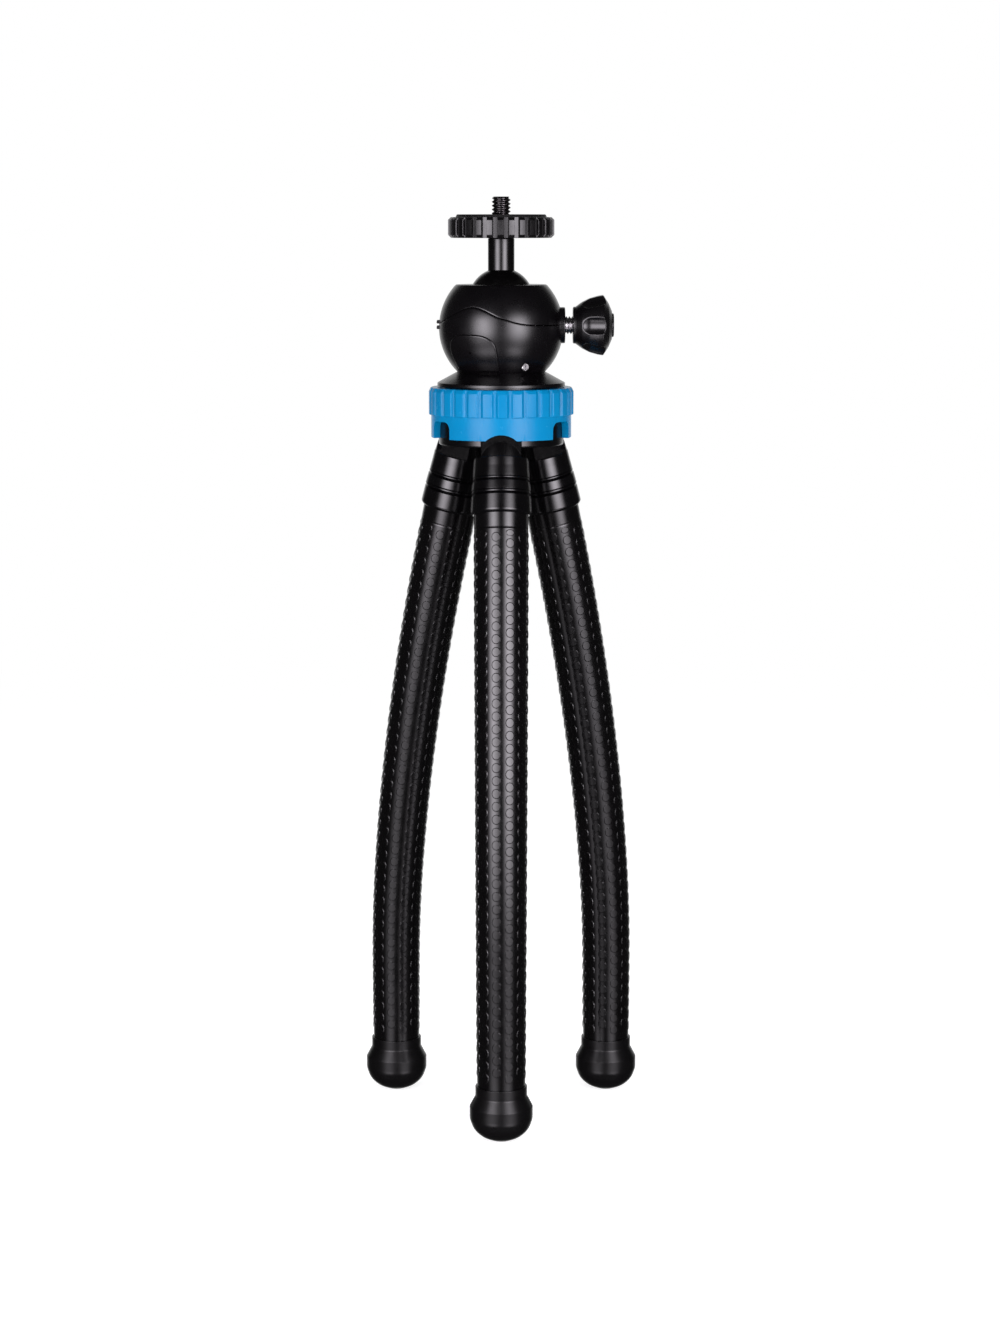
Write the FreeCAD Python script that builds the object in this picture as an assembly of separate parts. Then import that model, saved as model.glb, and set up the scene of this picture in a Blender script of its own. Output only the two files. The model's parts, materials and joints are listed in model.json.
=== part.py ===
import FreeCAD, Part

import math
import os

# Small camera tripod with three flexible legs, a leg-lock ring and a ball head.
# Millimetres, +Z up. The origin is on the central axis at floor level.
# The front leg points to -Y and the clamp knob to +X.

# Gaps between pieces
turning_gap = 0.1
seat_gap = 0.2
flex_gap = 0.4
sweep_gap = 0.3

# Camera screw, the standard quarter-inch thread
camera_thread_radius = 3.175
camera_thread_showing = 5.9
camera_thread_chamfer = 0.5
camera_screw_shank_radius = 2.6
camera_screw_relief_radius = 2.7
camera_screw_depth_in_stem = 9.0

# Share of its pitch that a thread's groove is deep
thread_depth_share = 0.613

# Legs: a chain of links each, from the hub down, with their lean from the vertical in degrees
leg_directions = {"front": -90.0, "right": 30.0, "left": 150.0}
link_leans = (13.3, 10.8, 8.0, 4.8, 0.0)
first_link_length = 62.2
middle_link_length = 38.4
last_link_length = 63.95
flex_limit = 25.0

# Leg sleeve
sleeve_top_radius = 9.1
sleeve_end_radius = 8.05
cup_rim_land = 0.2
mouth_angle = 46.0

# Leg core: ball and socket links inside the sleeve
core_ball_radius = 4.1
core_rod_radius = 2.4
socket_radius = 5.6
socket_depth = 6.0
socket_rim_height = 3.2
socket_mouth_margin = 3.0
anchor_thickness = 6.0
core_end_height = 9.0

# Leg collar and the tongue that hangs it on its hinge pin
collar_top_distance = 13.0
collar_band_lengths = (7.95, 4.6, 6.3)
collar_band_radii = (9.55, 9.95, 10.25)
collar_band_narrowing = (0.4, 0.2, 0.25)
collar_groove_width = 0.5
collar_groove_depth = 0.45
collar_shoulder_bevel = 0.4
spigot_radius = 7.6
spigot_length = 6.0
tongue_width = 13.2
tongue_outer_lean = 9.0
tongue_round_radius = 6.5
tongue_face_offset = 0.3
tongue_root_overlap = 2.5

# Foot
foot_neck_radius = 8.65
foot_neck_top = 18.6
foot_neck_bottom = 15.2
foot_band_radius = 10.57
foot_band_top = 11.5
foot_band_bottom = 7.2
foot_flat_radius = 3.2
foot_dome_share = 0.44
foot_floor = 4.5

# Hinge pins
pin_radius = 1.5
pin_half_length = 10.6
pivot_radius = 12.75

# Hub, in two halves that meet at the hinge pins
hub_beyond_pins = 8.35
hub_below_pins = 8.7
hub_above_pins = 11.1
hub_edge_round = 0.8
hub_step_depth = 1.5
hub_step_height = 2.6
slot_side_gap = 0.25
slot_end_gap = 0.5

# Leg-lock ring
ring_tooth_count = 30
ring_wall = 2.45
ring_groove_above_skirt = 0.05
ring_tooth_depth = 0.75
ring_land_angle = 6.6
ring_groove_floor_angle = 1.0
ring_tooth_turn = 1.0
ring_band_height = 9.15
ring_skirt_height = 7.7
ring_lip_thickness = 2.0
ring_top_bevel = 0.35
ring_top_gap = 0.4
arch_width = 10.4
arch_rise = 2.1
notch_width = 10.7
notch_height = 5.8
notch_corner_radius = 2.6
ledge_gap = 0.3

# Bolt that holds the hub and the head together
bolt_radius = 2.5
bolt_head_radius = 4.2
bolt_head_height = 3.0
bolt_socket_radius = 1.6
bolt_socket_depth = 1.8
bolt_depth_in_head = 9.0

# Flared base of the head
base_height = 4.76
base_flange_overhang = 0.45
base_flange_edge = 1.1
base_neck_radius = 14.85
base_spigot_radius = 11.8
base_spigot_height = 7.04
base_column_radius = 6.8
base_column_height = 2.6

# Ball housing, in two shells with a wavy seam
housing_above_base = 15.54
lower_shell_radius = 20.95
upper_shell_radius = 20.9
shell_below_knob_axis = 0.7
shell_inner_radius = 17.9
rim_above_centre = 13.6
ball_above_centre = 8.1
ball_socket_outer_radius = 13.4
ball_socket_below_rim = 9.6
seam_left_rise = 1.4
seam_peak_rise = 6.4
seam_mid_rise = 2.8
seam_right_rise = 0.8
seam_boss_rise = 0.3
seam_peak_x = -10.0
seam_mid_x = 0.0
seam_right_x = 8.0
boss_radius = 6.05
boss_reach = 21.5
boss_inner_reach = 11.5

# Ball and stem
ball_radius = 11.1
ball_gap = 0.1
stem_radius = 4.45
stem_top_above_ball = 20.8

# Seat under the ball
seat_radius = 6.8
seat_hole_radius = 3.0

# Lock wheel and its rubber pad
wheel_tooth_count = 30
wheel_tooth_radius = 17.85
wheel_groove_radius = 16.95
wheel_land_angle = 5.7
wheel_groove_floor_angle = 4.4
wheel_tooth_turn = -0.7
wheel_height = 6.9
wheel_bevel = 1.1
pad_radius = 15.05
pad_thickness = 0.9

# Clamp knob, its screw, nut and shoe
knob_screw_radius = 3.0
knob_screw_pitch = 1.0
knob_gap_from_boss = 2.6
knob_length = 13.3
knob_base_radius = 6.0
knob_max_radius = 10.1
knob_max_at = 9.9
knob_waist_radius = 8.9
knob_waist_at = 5.4
knob_end_radius = 4.4
knob_flute_count = 6
knob_flute_radius = 4.5
knob_flute_centre = 12.0
knob_flute_from = 5.0
knob_flute_lean = 15.4
knob_cap_radius = 4.05
knob_cap_thickness = 2.4
knob_cap_proud = 0.5
screw_end_in_knob = 8.0
nut_across_flats = 9.0
nut_thickness = 4.6
nut_inset = 2.4
shoe_radius = 3.0
shoe_face_at = 7.3
shoe_back_at = 12.4
shoe_gap = 0.05

# Grub screw that locks the housing on its base
grub_direction = -60.5
grub_radius = 1.3
grub_height_above_base = 2.14
grub_proud = 0.1
grub_slot_width = 0.5
grub_slot_depth = 0.7

# Heights, radii and lengths that follow from the sizes above
link_lengths = (first_link_length,) + (middle_link_length,) * 3 + (last_link_length,)
leg_length = sum(link_lengths)
pivot_height = sum(
    length * math.cos(math.radians(lean)) for length, lean in zip(link_lengths, link_leans)
)
collar_bottom_distance = collar_top_distance + sum(collar_band_lengths)
collar_top_radius = collar_band_radii[0] - collar_band_narrowing[0]
taper_end_distance = leg_length - foot_neck_top
hub_bottom = pivot_height - hub_below_pins
hub_top = pivot_height + hub_above_pins
hub_step = hub_top - hub_step_height
ring_top = hub_top - ring_top_gap
ring_band_bottom = ring_top - ring_band_height
ring_bottom = ring_band_bottom - ring_skirt_height
hub_radius = pivot_radius + hub_beyond_pins
hub_step_radius = hub_radius - hub_step_depth
ring_bore_radius = hub_radius + turning_gap
ring_skirt_radius = ring_bore_radius + ring_wall
ring_groove_radius = ring_skirt_radius + ring_groove_above_skirt
ring_tooth_radius = ring_groove_radius + ring_tooth_depth
base_flange_radius = hub_radius + base_flange_overhang
base_bottom = hub_top
base_top = base_bottom + base_height
housing_centre = base_top + housing_above_base
housing_rim = housing_centre + rim_above_centre
shell_centre = housing_centre - shell_below_knob_axis
ball_centre = housing_centre + ball_above_centre
socket_cavity_radius = ball_radius + ball_gap
seat_bottom = base_top + base_spigot_height + base_column_height
stem_top = ball_centre + stem_top_above_ball
wheel_bottom = stem_top + seat_gap
wheel_top = wheel_bottom + wheel_height
pad_top = wheel_top + pad_thickness
knob_start = boss_reach + knob_gap_from_boss
slot_inner = pivot_radius - tongue_round_radius - slot_end_gap
slot_top = pivot_height + tongue_round_radius + slot_end_gap
tongue_face = pivot_radius + tongue_round_radius + tongue_face_offset
core_cavity_radius = core_ball_radius + turning_gap
pin_bore_radius = pin_radius + turning_gap / 2
bolt_head_seat = hub_bottom + bolt_head_height
# Far enough to pass right through anything here
beyond = 2 * ring_tooth_radius


def vector(x, y, z):
    return FreeCAD.Vector(x, y, z)


def sine(degrees):
    return math.sin(math.radians(degrees))


def cosine(degrees):
    return math.cos(math.radians(degrees))


def outline(start, *steps):
    """Closed face in the XZ plane. A step is an end point, or a pair: a point on an arc, its end."""
    edges = []
    here = start
    for step in steps + (start,):
        if isinstance(step[0], tuple):
            middle, there = step
            arc = Part.Arc(vector(here[0], 0, here[1]), vector(middle[0], 0, middle[1]),
                           vector(there[0], 0, there[1]))
            edges.append(arc.toShape())
        else:
            there = step
            line = Part.LineSegment(vector(here[0], 0, here[1]), vector(there[0], 0, there[1]))
            edges.append(line.toShape())
        here = there
    return Part.Face(Part.Wire(edges))


def turned(face):
    """Solid of revolution about Z."""
    return face.revolve(vector(0, 0, 0), vector(0, 0, 1), 360)


def slab(face, width):
    """The face of the XZ plane, made as thick as width, half to each side."""
    solid = face.extrude(vector(0, width, 0))
    solid.translate(vector(0, -width / 2, 0))
    return solid


def upright(radius, bottom, top):
    return Part.makeCylinder(radius, top - bottom, vector(0, 0, bottom))


def along_x(radius, start, end, height):
    return Part.makeCylinder(radius, end - start, vector(start, 0, height), vector(1, 0, 0))


def on_circle(radius, degrees):
    """Point at this angle from the top, on a circle about the local origin."""
    return (radius * sine(degrees), radius * cosine(degrees))


def circle_height(radius, across):
    """Height above a circle's centre at a distance from its axis."""
    return math.sqrt(radius * radius - across * across)


def facing(shape, degrees):
    """The shape built towards +X, turned about Z to face another direction."""
    turned_shape = shape.copy()
    turned_shape.rotate(vector(0, 0, 0), vector(0, 0, 1), degrees)
    return turned_shape


def toothed_face(count, tooth_radius, groove_radius, land_angle, floor_angle, turn):
    """Flat outline of a toothed disc whose first land is centred on -Y and then turned a little."""
    corners = []
    for tooth in range(count):
        middle = turn - 90.0 + tooth * 360.0 / count
        groove = middle + 180.0 / count
        for radius, degrees in (
            (tooth_radius, middle - land_angle / 2),
            (tooth_radius, middle + land_angle / 2),
            (groove_radius, groove - floor_angle / 2),
            (groove_radius, groove + floor_angle / 2),
        ):
            corners.append(vector(radius * cosine(degrees), radius * sine(degrees), 0))
    return Part.Face(Part.makePolygon(corners + [corners[0]]))


def thread_points(radius, pitch, start, turns):
    """Points up the side of a threaded length, its grooves drawn as rings."""
    root = radius - thread_depth_share * pitch
    points = []
    for turn in range(turns):
        foot = start + turn * pitch
        points += [
            (radius, foot + pitch / 16),
            (root, foot + pitch * 6 / 16),
            (root, foot + pitch * 10 / 16),
            (radius, foot + pitch * 15 / 16),
        ]
    return points


# The leg's line

def joint_points():
    """Distance from the axis and height of the hinge pin, of each flexing joint and of the leg's end."""
    points = [(pivot_radius, pivot_height)]
    for length, lean in zip(link_lengths, link_leans):
        across, height = points[-1]
        points.append((across + length * sine(lean), height - length * cosine(lean)))
    return points


def placed_on_leg(shape, link, direction):
    """A shape built along Z about its link's upper joint, put in place on the leg."""
    across, height = joint_points()[link]
    placed = shape.copy()
    placed.rotate(vector(0, 0, 0), vector(0, 1, 0), -link_leans[link])
    placed.translate(vector(across, 0, height))
    return facing(placed, direction)


def sleeve_radius_at(distance):
    """Radius of the tapering sleeve at a distance along the leg from the hinge pin."""
    share = (distance - collar_bottom_distance) / (taper_end_distance - collar_bottom_distance)
    return sleeve_top_radius + (sleeve_end_radius - sleeve_top_radius) * share


def joint_radius(joint):
    """Sleeve radius at a flexing joint, counted from 1 at the end of the first link."""
    return sleeve_radius_at(sum(link_lengths[:joint]))


def cup_steps(radius, length):
    """Outline of a sleeve's hollow lower end, from its outer wall to the core's bore."""
    cup = radius + flex_gap
    rim = circle_height(cup, radius - cup_rim_land)
    bore = circle_height(cup, core_rod_radius)
    halfway = (math.degrees(math.acos(bore / cup)) + math.degrees(math.acos(rim / cup))) / 2
    across, height = on_circle(cup, halfway)
    return [
        (radius, rim - length),
        (radius - cup_rim_land, rim - length),
        ((across, height - length), (core_rod_radius, bore - length)),
    ]


def dome_steps(radius):
    """Outline of a sleeve's rounded upper end, from the socket pocket to the outer wall."""
    return [
        (socket_radius, -socket_depth),
        (socket_radius, socket_rim_height),
        on_circle(radius, mouth_angle),
        (on_circle(radius, (mouth_angle + 90) / 2), (radius, 0)),
    ]


def first_sleeve():
    top = -(collar_bottom_distance - spigot_length)
    steps = [
        (spigot_radius, top),
        (spigot_radius, -collar_bottom_distance),
        (sleeve_top_radius, -collar_bottom_distance),
    ]
    return turned(outline((core_rod_radius, top), *steps, *cup_steps(joint_radius(1), first_link_length)))


def middle_sleeve(link):
    steps = dome_steps(joint_radius(link)) + cup_steps(joint_radius(link + 1), middle_link_length)
    return turned(outline((core_rod_radius, -socket_depth), *steps))


def last_sleeve():
    end = foot_floor - last_link_length
    steps = dome_steps(joint_radius(4)) + [
        (sleeve_end_radius, foot_neck_top - last_link_length),
        (sleeve_end_radius, end),
        (core_rod_radius, end),
    ]
    return turned(outline((core_rod_radius, -socket_depth), *steps))


def core_ball_steps(length):
    """Outline of the ball at a core link's lower end, from its rod to the axis."""
    neck = circle_height(core_ball_radius, core_rod_radius)
    return [
        (core_rod_radius, neck - length),
        ((core_ball_radius, -length), (0, -core_ball_radius - length)),
    ]


def socket_steps():
    """Outline of the socket at a core link's upper end, from its cavity to its rod."""
    lip = flex_limit + math.degrees(math.asin(core_rod_radius / core_cavity_radius))
    lip += socket_mouth_margin
    mouth = (core_rod_radius + socket_rim_height * sine(flex_limit)) / cosine(flex_limit)
    return [
        (on_circle(core_cavity_radius, (180 + lip) / 2), on_circle(core_cavity_radius, lip)),
        (mouth + sweep_gap, socket_rim_height),
        (socket_radius, socket_rim_height),
        (socket_radius, -socket_depth),
        (core_rod_radius, -socket_depth),
    ]


def first_core():
    bottom = -(collar_bottom_distance - spigot_length)
    top = bottom + anchor_thickness
    steps = [(socket_radius, top), (socket_radius, bottom), (core_rod_radius, bottom)]
    return turned(outline((0, top), *steps, *core_ball_steps(first_link_length)))


def middle_core():
    steps = socket_steps() + core_ball_steps(middle_link_length)
    return turned(outline((0, -core_cavity_radius), *steps))


def last_core():
    end = core_end_height - last_link_length
    steps = socket_steps() + [(core_rod_radius, end), (0, end)]
    return turned(outline((0, -core_cavity_radius), *steps))


def collar_bands():
    """The collar's three bands, each wider at its lower end, with a groove between them."""
    points = [
        (collar_top_radius - collar_shoulder_bevel, -collar_top_distance),
        (collar_top_radius, -collar_top_distance - collar_shoulder_bevel),
    ]
    bottom = -collar_top_distance
    for index, (length, radius) in enumerate(zip(collar_band_lengths, collar_band_radii)):
        bottom -= length
        if index < len(collar_band_radii) - 1:
            points += [
                (radius, bottom + collar_groove_width),
                (radius - collar_groove_depth, bottom + collar_groove_width),
                (radius - collar_groove_depth, bottom),
                (collar_band_radii[index + 1] - collar_band_narrowing[index + 1], bottom),
            ]
        else:
            points.append((radius, bottom))
    return turned(outline((0, -collar_top_distance), *points, (0, bottom)))


def tongue():
    """The tongue above a collar, in its place on a leg that points to +X."""
    root_distance = collar_top_distance + tongue_root_overlap
    lean = link_leans[0]
    root_across = pivot_radius + root_distance * sine(lean)
    root_height = pivot_height - root_distance * cosine(lean)
    inner_foot = root_across - collar_top_radius + tongue_root_overlap * sine(lean)
    knuckle = outline(
        (pivot_radius - tongue_round_radius, pivot_height),
        ((pivot_radius, pivot_height + tongue_round_radius),
         (pivot_radius + tongue_round_radius, pivot_height)),
        (tongue_face, pivot_height - tongue_round_radius / 2),
        (tongue_face, root_height),
        (inner_foot, root_height),
    )
    ledge = ring_bottom - ledge_gap
    dome_radius = (arch_width ** 2 / 4 + arch_rise ** 2) / (2 * arch_rise) - ledge_gap
    outer = root_across + 2 * collar_top_radius
    bulge = along_x(dome_radius, root_across, outer, ledge - dome_radius)
    above_root = slab(
        outline((root_across, root_height), (root_across, ledge), (outer, ledge), (outer, root_height)),
        tongue_width,
    )
    steeper = lean + tongue_outer_lean
    upwards = vector(-sine(steeper), 0, cosine(steeper))
    root = vector(root_across, 0, root_height)
    leaning = Part.makeCylinder(collar_top_radius, tongue_round_radius * 4,
                                root - upwards * tongue_root_overlap, upwards)
    whole = slab(knuckle, tongue_width).fuse(bulge.common(above_root).common(leaning))
    direction = vector(sine(lean), 0, -cosine(lean))
    start = vector(pivot_radius, 0, pivot_height) - direction * tongue_round_radius * 2
    column = Part.makeCylinder(collar_top_radius, root_distance + tongue_round_radius * 4,
                               start, direction)
    return whole.common(column)


def leg_collar(direction):
    bands = collar_bands()
    spigot_top = -(collar_bottom_distance - spigot_length)
    bands = bands.cut(upright(spigot_radius, -collar_bottom_distance, spigot_top))
    bands = bands.cut(upright(socket_radius, spigot_top, spigot_top + anchor_thickness))
    collar = facing(placed_on_leg(bands, 0, 0).fuse(tongue()), direction)
    pin_bore = Part.makeCylinder(pin_bore_radius, beyond, vector(pivot_radius, -beyond / 2, pivot_height),
                                 vector(0, 1, 0))
    return collar.cut(facing(pin_bore, direction)).removeSplitter()


def leg_foot():
    """Rubber foot about its own axis, standing on Z = 0."""
    dome_middle = (foot_flat_radius + (foot_band_radius - foot_flat_radius) * 0.74,
                   foot_band_bottom * foot_dome_share)
    neck_bore = sleeve_end_radius
    return turned(outline(
        (0, 0),
        (foot_flat_radius, 0),
        (dome_middle, (foot_band_radius, foot_band_bottom)),
        (foot_band_radius, foot_band_top),
        (foot_neck_radius, foot_neck_bottom),
        (foot_neck_radius, foot_neck_top),
        (neck_bore, foot_neck_top),
        (neck_bore, foot_floor),
        (0, foot_floor),
    ))


# Hub, ring and bolt

def hub_cuts():
    """What the three tongues, their pins and the bolt need open in the hub."""
    slot = Part.makeBox(beyond, tongue_width + 2 * slot_side_gap, slot_top,
                        vector(slot_inner, -tongue_width / 2 - slot_side_gap, 0))
    channel = Part.makeCylinder(pin_radius, 2 * pin_half_length,
                                vector(pivot_radius, -pin_half_length, pivot_height), vector(0, 1, 0))
    cuts = [upright(bolt_radius + turning_gap, 0, hub_top),
            upright(bolt_head_radius + seat_gap, 0, bolt_head_seat)]
    for direction in leg_directions.values():
        cuts += [facing(slot, direction), facing(channel, direction)]
    return cuts


def hub_lower():
    edge = hub_radius - hub_edge_round
    body = turned(outline(
        (0, hub_bottom),
        (edge, hub_bottom),
        ((edge + hub_edge_round * sine(45), hub_bottom + hub_edge_round * (1 - cosine(45))),
         (hub_radius, hub_bottom + hub_edge_round)),
        (hub_radius, pivot_height),
        (0, pivot_height),
    ))
    return body.cut(hub_cuts())


def hub_upper():
    body = upright(hub_radius, pivot_height, hub_step).fuse(upright(hub_step_radius, hub_step, hub_top))
    return body.cut(hub_cuts()).removeSplitter()


def hinge_pins():
    pin = Part.makeCylinder(pin_radius, 2 * pin_half_length,
                            vector(pivot_radius, -pin_half_length, pivot_height), vector(0, 1, 0))
    return Part.makeCompound([facing(pin, direction) for direction in leg_directions.values()])


def lock_ring():
    band = toothed_face(ring_tooth_count, ring_tooth_radius, ring_groove_radius,
                        ring_land_angle, ring_groove_floor_angle, ring_tooth_turn)
    band = band.extrude(vector(0, 0, ring_band_height))
    band.translate(vector(0, 0, ring_band_bottom))
    bevelled = turned(outline(
        (0, ring_band_bottom),
        (ring_tooth_radius, ring_band_bottom),
        (ring_tooth_radius, ring_top - ring_top_bevel),
        (ring_tooth_radius - ring_top_bevel, ring_top),
        (0, ring_top),
    ))
    ring = band.common(bevelled).fuse(upright(ring_skirt_radius, ring_bottom, ring_band_bottom + 1))
    lip_bottom = ring_top - ring_lip_thickness
    ring = ring.cut([upright(ring_bore_radius, ring_bottom, lip_bottom),
                     upright(hub_step_radius + turning_gap, lip_bottom, ring_top)])
    arch_radius = (arch_width ** 2 / 4 + arch_rise ** 2) / (2 * arch_rise)
    arch = along_x(arch_radius, 0, beyond, ring_bottom + arch_rise - arch_radius)
    corner = notch_corner_radius
    half = notch_width / 2
    top = ring_bottom + notch_height
    bend = corner * (1 - cosine(45))
    notch = outline(
        (-half, 0),
        (-half, top - corner),
        ((bend - half, top - bend), (corner - half, top)),
        (half - corner, top),
        ((half - bend, top - bend), (half, top - corner)),
        (half, 0),
    ).extrude(vector(0, beyond, 0))
    cuts = []
    for direction in leg_directions.values():
        cuts.append(facing(arch, direction))
        cuts.append(facing(notch, direction - 30))
    return ring.cut(cuts).removeSplitter()


def head_bolt():
    tip = base_top + bolt_depth_in_head
    bolt = upright(bolt_radius, hub_bottom, tip).fuse(upright(bolt_head_radius, hub_bottom, bolt_head_seat))
    return bolt.cut(upright(bolt_socket_radius, hub_bottom, hub_bottom + bolt_socket_depth)).removeSplitter()


# Head

def head_base():
    flare_top = base_bottom + base_flange_edge
    spigot_top = base_top + base_spigot_height
    body = turned(outline(
        (0, base_bottom),
        (base_flange_radius, base_bottom),
        (base_flange_radius, flare_top),
        (base_neck_radius, base_top),
        (base_spigot_radius, base_top),
        (base_spigot_radius, spigot_top),
        (base_column_radius, spigot_top),
        (base_column_radius, seat_bottom - turning_gap),
        (0, seat_bottom - turning_gap),
    ))
    return body.cut(upright(bolt_radius, base_bottom, base_top + bolt_depth_in_head))


def seam_faces():
    """What lies above and what lies below the wavy seam, as faces of the XZ plane."""
    left = -lower_shell_radius - 2
    right = boss_reach + 2
    left_rise = housing_centre + seam_left_rise
    right_rise = housing_centre + seam_boss_rise
    points = [
        vector(-lower_shell_radius, 0, left_rise),
        vector(seam_peak_x, 0, housing_centre + seam_peak_rise),
        vector(seam_mid_x, 0, housing_centre + seam_mid_rise),
        vector(seam_right_x, 0, housing_centre + seam_right_rise),
        vector(boss_reach, 0, right_rise),
    ]
    wave = Part.BSplineCurve()
    wave.interpolate(points)
    run_in = Part.LineSegment(vector(left, 0, left_rise), points[0]).toShape()
    run_out = Part.LineSegment(points[-1], vector(right, 0, right_rise)).toShape()
    faces = []
    for limit in (housing_rim + 1, base_bottom):
        back = Part.makePolygon([
            vector(right, 0, right_rise),
            vector(right, 0, limit),
            vector(left, 0, limit),
            vector(left, 0, left_rise),
        ])
        faces.append(Part.Face(Part.Wire([run_in, wave.toShape(), run_out] + back.Edges)))
    return faces


def nut_shape():
    """Hexagonal nut about X, with two flats level."""
    corner = nut_across_flats / 2 / cosine(30)
    start = boss_reach - nut_inset - nut_thickness
    corners = [vector(start, corner * cosine(60 * k), housing_centre + corner * sine(60 * k))
               for k in range(7)]
    return Part.Face(Part.makePolygon(corners)).extrude(vector(nut_thickness, 0, 0))


def shell_wall(radius, region):
    """One shell's share of the hollow ball, with its half of the knob's boss."""
    centre = vector(0, 0, shell_centre)
    wall = Part.makeSphere(radius, centre).cut(Part.makeSphere(shell_inner_radius, centre))
    wall = wall.fuse(along_x(boss_radius, boss_inner_reach, boss_reach, housing_centre))
    wall = wall.cut([nut_shape(),
                     along_x(knob_screw_radius + turning_gap, 0, boss_reach, housing_centre),
                     along_x(shoe_radius + turning_gap, 0, shoe_back_at + 1.5, housing_centre)])
    return wall.common(slab(region, beyond))


def upper_shell():
    above = seam_faces()[0]
    wall = shell_wall(upper_shell_radius, above)
    below_rim = upright(beyond, base_bottom, housing_rim)
    socket = upright(ball_socket_outer_radius, housing_rim - ball_socket_below_rim, housing_rim)
    ball = Part.makeSphere(socket_cavity_radius, vector(0, 0, ball_centre))
    return wall.common(below_rim).fuse(socket).cut(ball).removeSplitter()


def grub_axis():
    """Place and direction of the grub screw, pointing out of the housing."""
    return base_top + grub_height_above_base, grub_direction


def grub_rod(radius, start, end):
    height, direction = grub_axis()
    return facing(along_x(radius, start, end, height), direction)


def lower_shell():
    below = seam_faces()[1]
    wall = shell_wall(lower_shell_radius, below)
    above_base = upright(beyond, base_top, housing_rim)
    neck = upright(base_neck_radius, base_top, base_top + base_spigot_height)
    neck = neck.cut(Part.makeSphere(shell_inner_radius, vector(0, 0, shell_centre)))
    shell = wall.common(above_base).fuse(neck)
    shell = shell.cut([upright(base_spigot_radius, base_top, base_top + base_spigot_height),
                       grub_rod(grub_radius, 0, beyond)])
    return shell.removeSplitter()


def grub_screw():
    height, direction = grub_axis()
    drop = shell_centre - height
    outer = circle_height(lower_shell_radius, drop) + grub_proud
    screw = grub_rod(grub_radius, base_spigot_radius, outer)
    slot = Part.makeBox(grub_slot_depth * 2, grub_slot_width, grub_radius * 4,
                        vector(outer - grub_slot_depth, -grub_slot_width / 2, height - grub_radius * 2))
    return screw.cut(facing(slot, direction))


def ball_seat():
    body = upright(seat_radius, seat_bottom, ball_centre)
    body = body.cut(Part.makeSphere(socket_cavity_radius, vector(0, 0, ball_centre)))
    lower = body.common(upright(seat_radius, seat_bottom, ball_centre - ball_radius * cosine(45)))
    return lower.cut(upright(seat_hole_radius, seat_bottom, ball_centre))


def ball_stem():
    body = Part.makeSphere(ball_radius, vector(0, 0, ball_centre))
    body = body.fuse(upright(stem_radius, ball_centre, stem_top))
    bore_bottom = stem_top - camera_screw_depth_in_stem
    bore_radius = camera_screw_shank_radius + turning_gap
    return body.cut(upright(bore_radius, bore_bottom - seat_gap, stem_top)).removeSplitter()


def camera_screw():
    bottom = stem_top - camera_screw_depth_in_stem
    tip = pad_top + camera_thread_showing
    radius = camera_thread_radius
    return turned(outline(
        (0, bottom),
        (camera_screw_shank_radius, bottom),
        (camera_screw_shank_radius, stem_top + turning_gap),
        (radius, stem_top + turning_gap),
        (radius, wheel_top),
        (camera_screw_relief_radius, wheel_top),
        (camera_screw_relief_radius, pad_top),
        (radius, pad_top),
        (radius, tip - camera_thread_chamfer),
        (radius - camera_thread_chamfer, tip),
        (0, tip),
    ))


def lock_wheel():
    disc = toothed_face(wheel_tooth_count, wheel_tooth_radius, wheel_groove_radius,
                        wheel_land_angle, wheel_groove_floor_angle, wheel_tooth_turn)
    disc = disc.extrude(vector(0, 0, wheel_height))
    disc.translate(vector(0, 0, wheel_bottom))
    bevelled = turned(outline(
        (camera_thread_radius + turning_gap, wheel_bottom),
        (wheel_tooth_radius - wheel_bevel, wheel_bottom),
        (wheel_tooth_radius, wheel_bottom + wheel_bevel),
        (wheel_tooth_radius, wheel_top - wheel_bevel),
        (wheel_tooth_radius - wheel_bevel, wheel_top),
        (camera_thread_radius + turning_gap, wheel_top),
    ))
    return disc.common(bevelled)


def grip_pad():
    return upright(pad_radius, wheel_top, pad_top).cut(
        upright(camera_thread_radius + turning_gap, wheel_top, pad_top))


# Clamp knob

def knob_placed(shape):
    """A shape built along Z from the knob's inner face, put on the knob's axis."""
    placed = shape.copy()
    placed.rotate(vector(0, 0, 0), vector(0, 1, 0), 90)
    placed.translate(vector(knob_start, 0, housing_centre))
    return placed


def knob_flute():
    """Round-ended groove that rises towards the knob's free end."""
    start = vector(knob_flute_centre, 0, knob_flute_from)
    rise = vector(sine(knob_flute_lean), 0, cosine(knob_flute_lean))
    groove = Part.makeCylinder(knob_flute_radius, knob_length * 3, start, rise)
    return groove.fuse(Part.makeSphere(knob_flute_radius, start))


def clamp_knob():
    cap_bed = knob_length + knob_cap_proud - knob_cap_thickness
    body = turned(outline(
        (0, 0),
        (knob_base_radius, 0),
        ((knob_waist_radius, knob_waist_at), (knob_max_radius, knob_max_at)),
        (knob_end_radius, knob_length),
        (0, knob_length),
    ))
    cuts = [upright(knob_screw_radius, 0, screw_end_in_knob),
            upright(knob_cap_radius, cap_bed, knob_length)]
    for flute in range(knob_flute_count):
        cuts.append(facing(knob_flute(), -90.0 + flute * 360.0 / knob_flute_count))
    return knob_placed(body.cut(cuts))


def knob_cap():
    top = knob_length + knob_cap_proud
    bevel = knob_cap_proud / 2
    return knob_placed(turned(outline(
        (0, top - knob_cap_thickness),
        (knob_cap_radius, top - knob_cap_thickness),
        (knob_cap_radius, top - bevel),
        (knob_cap_radius - bevel, top),
        (0, top),
    )))


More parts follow.
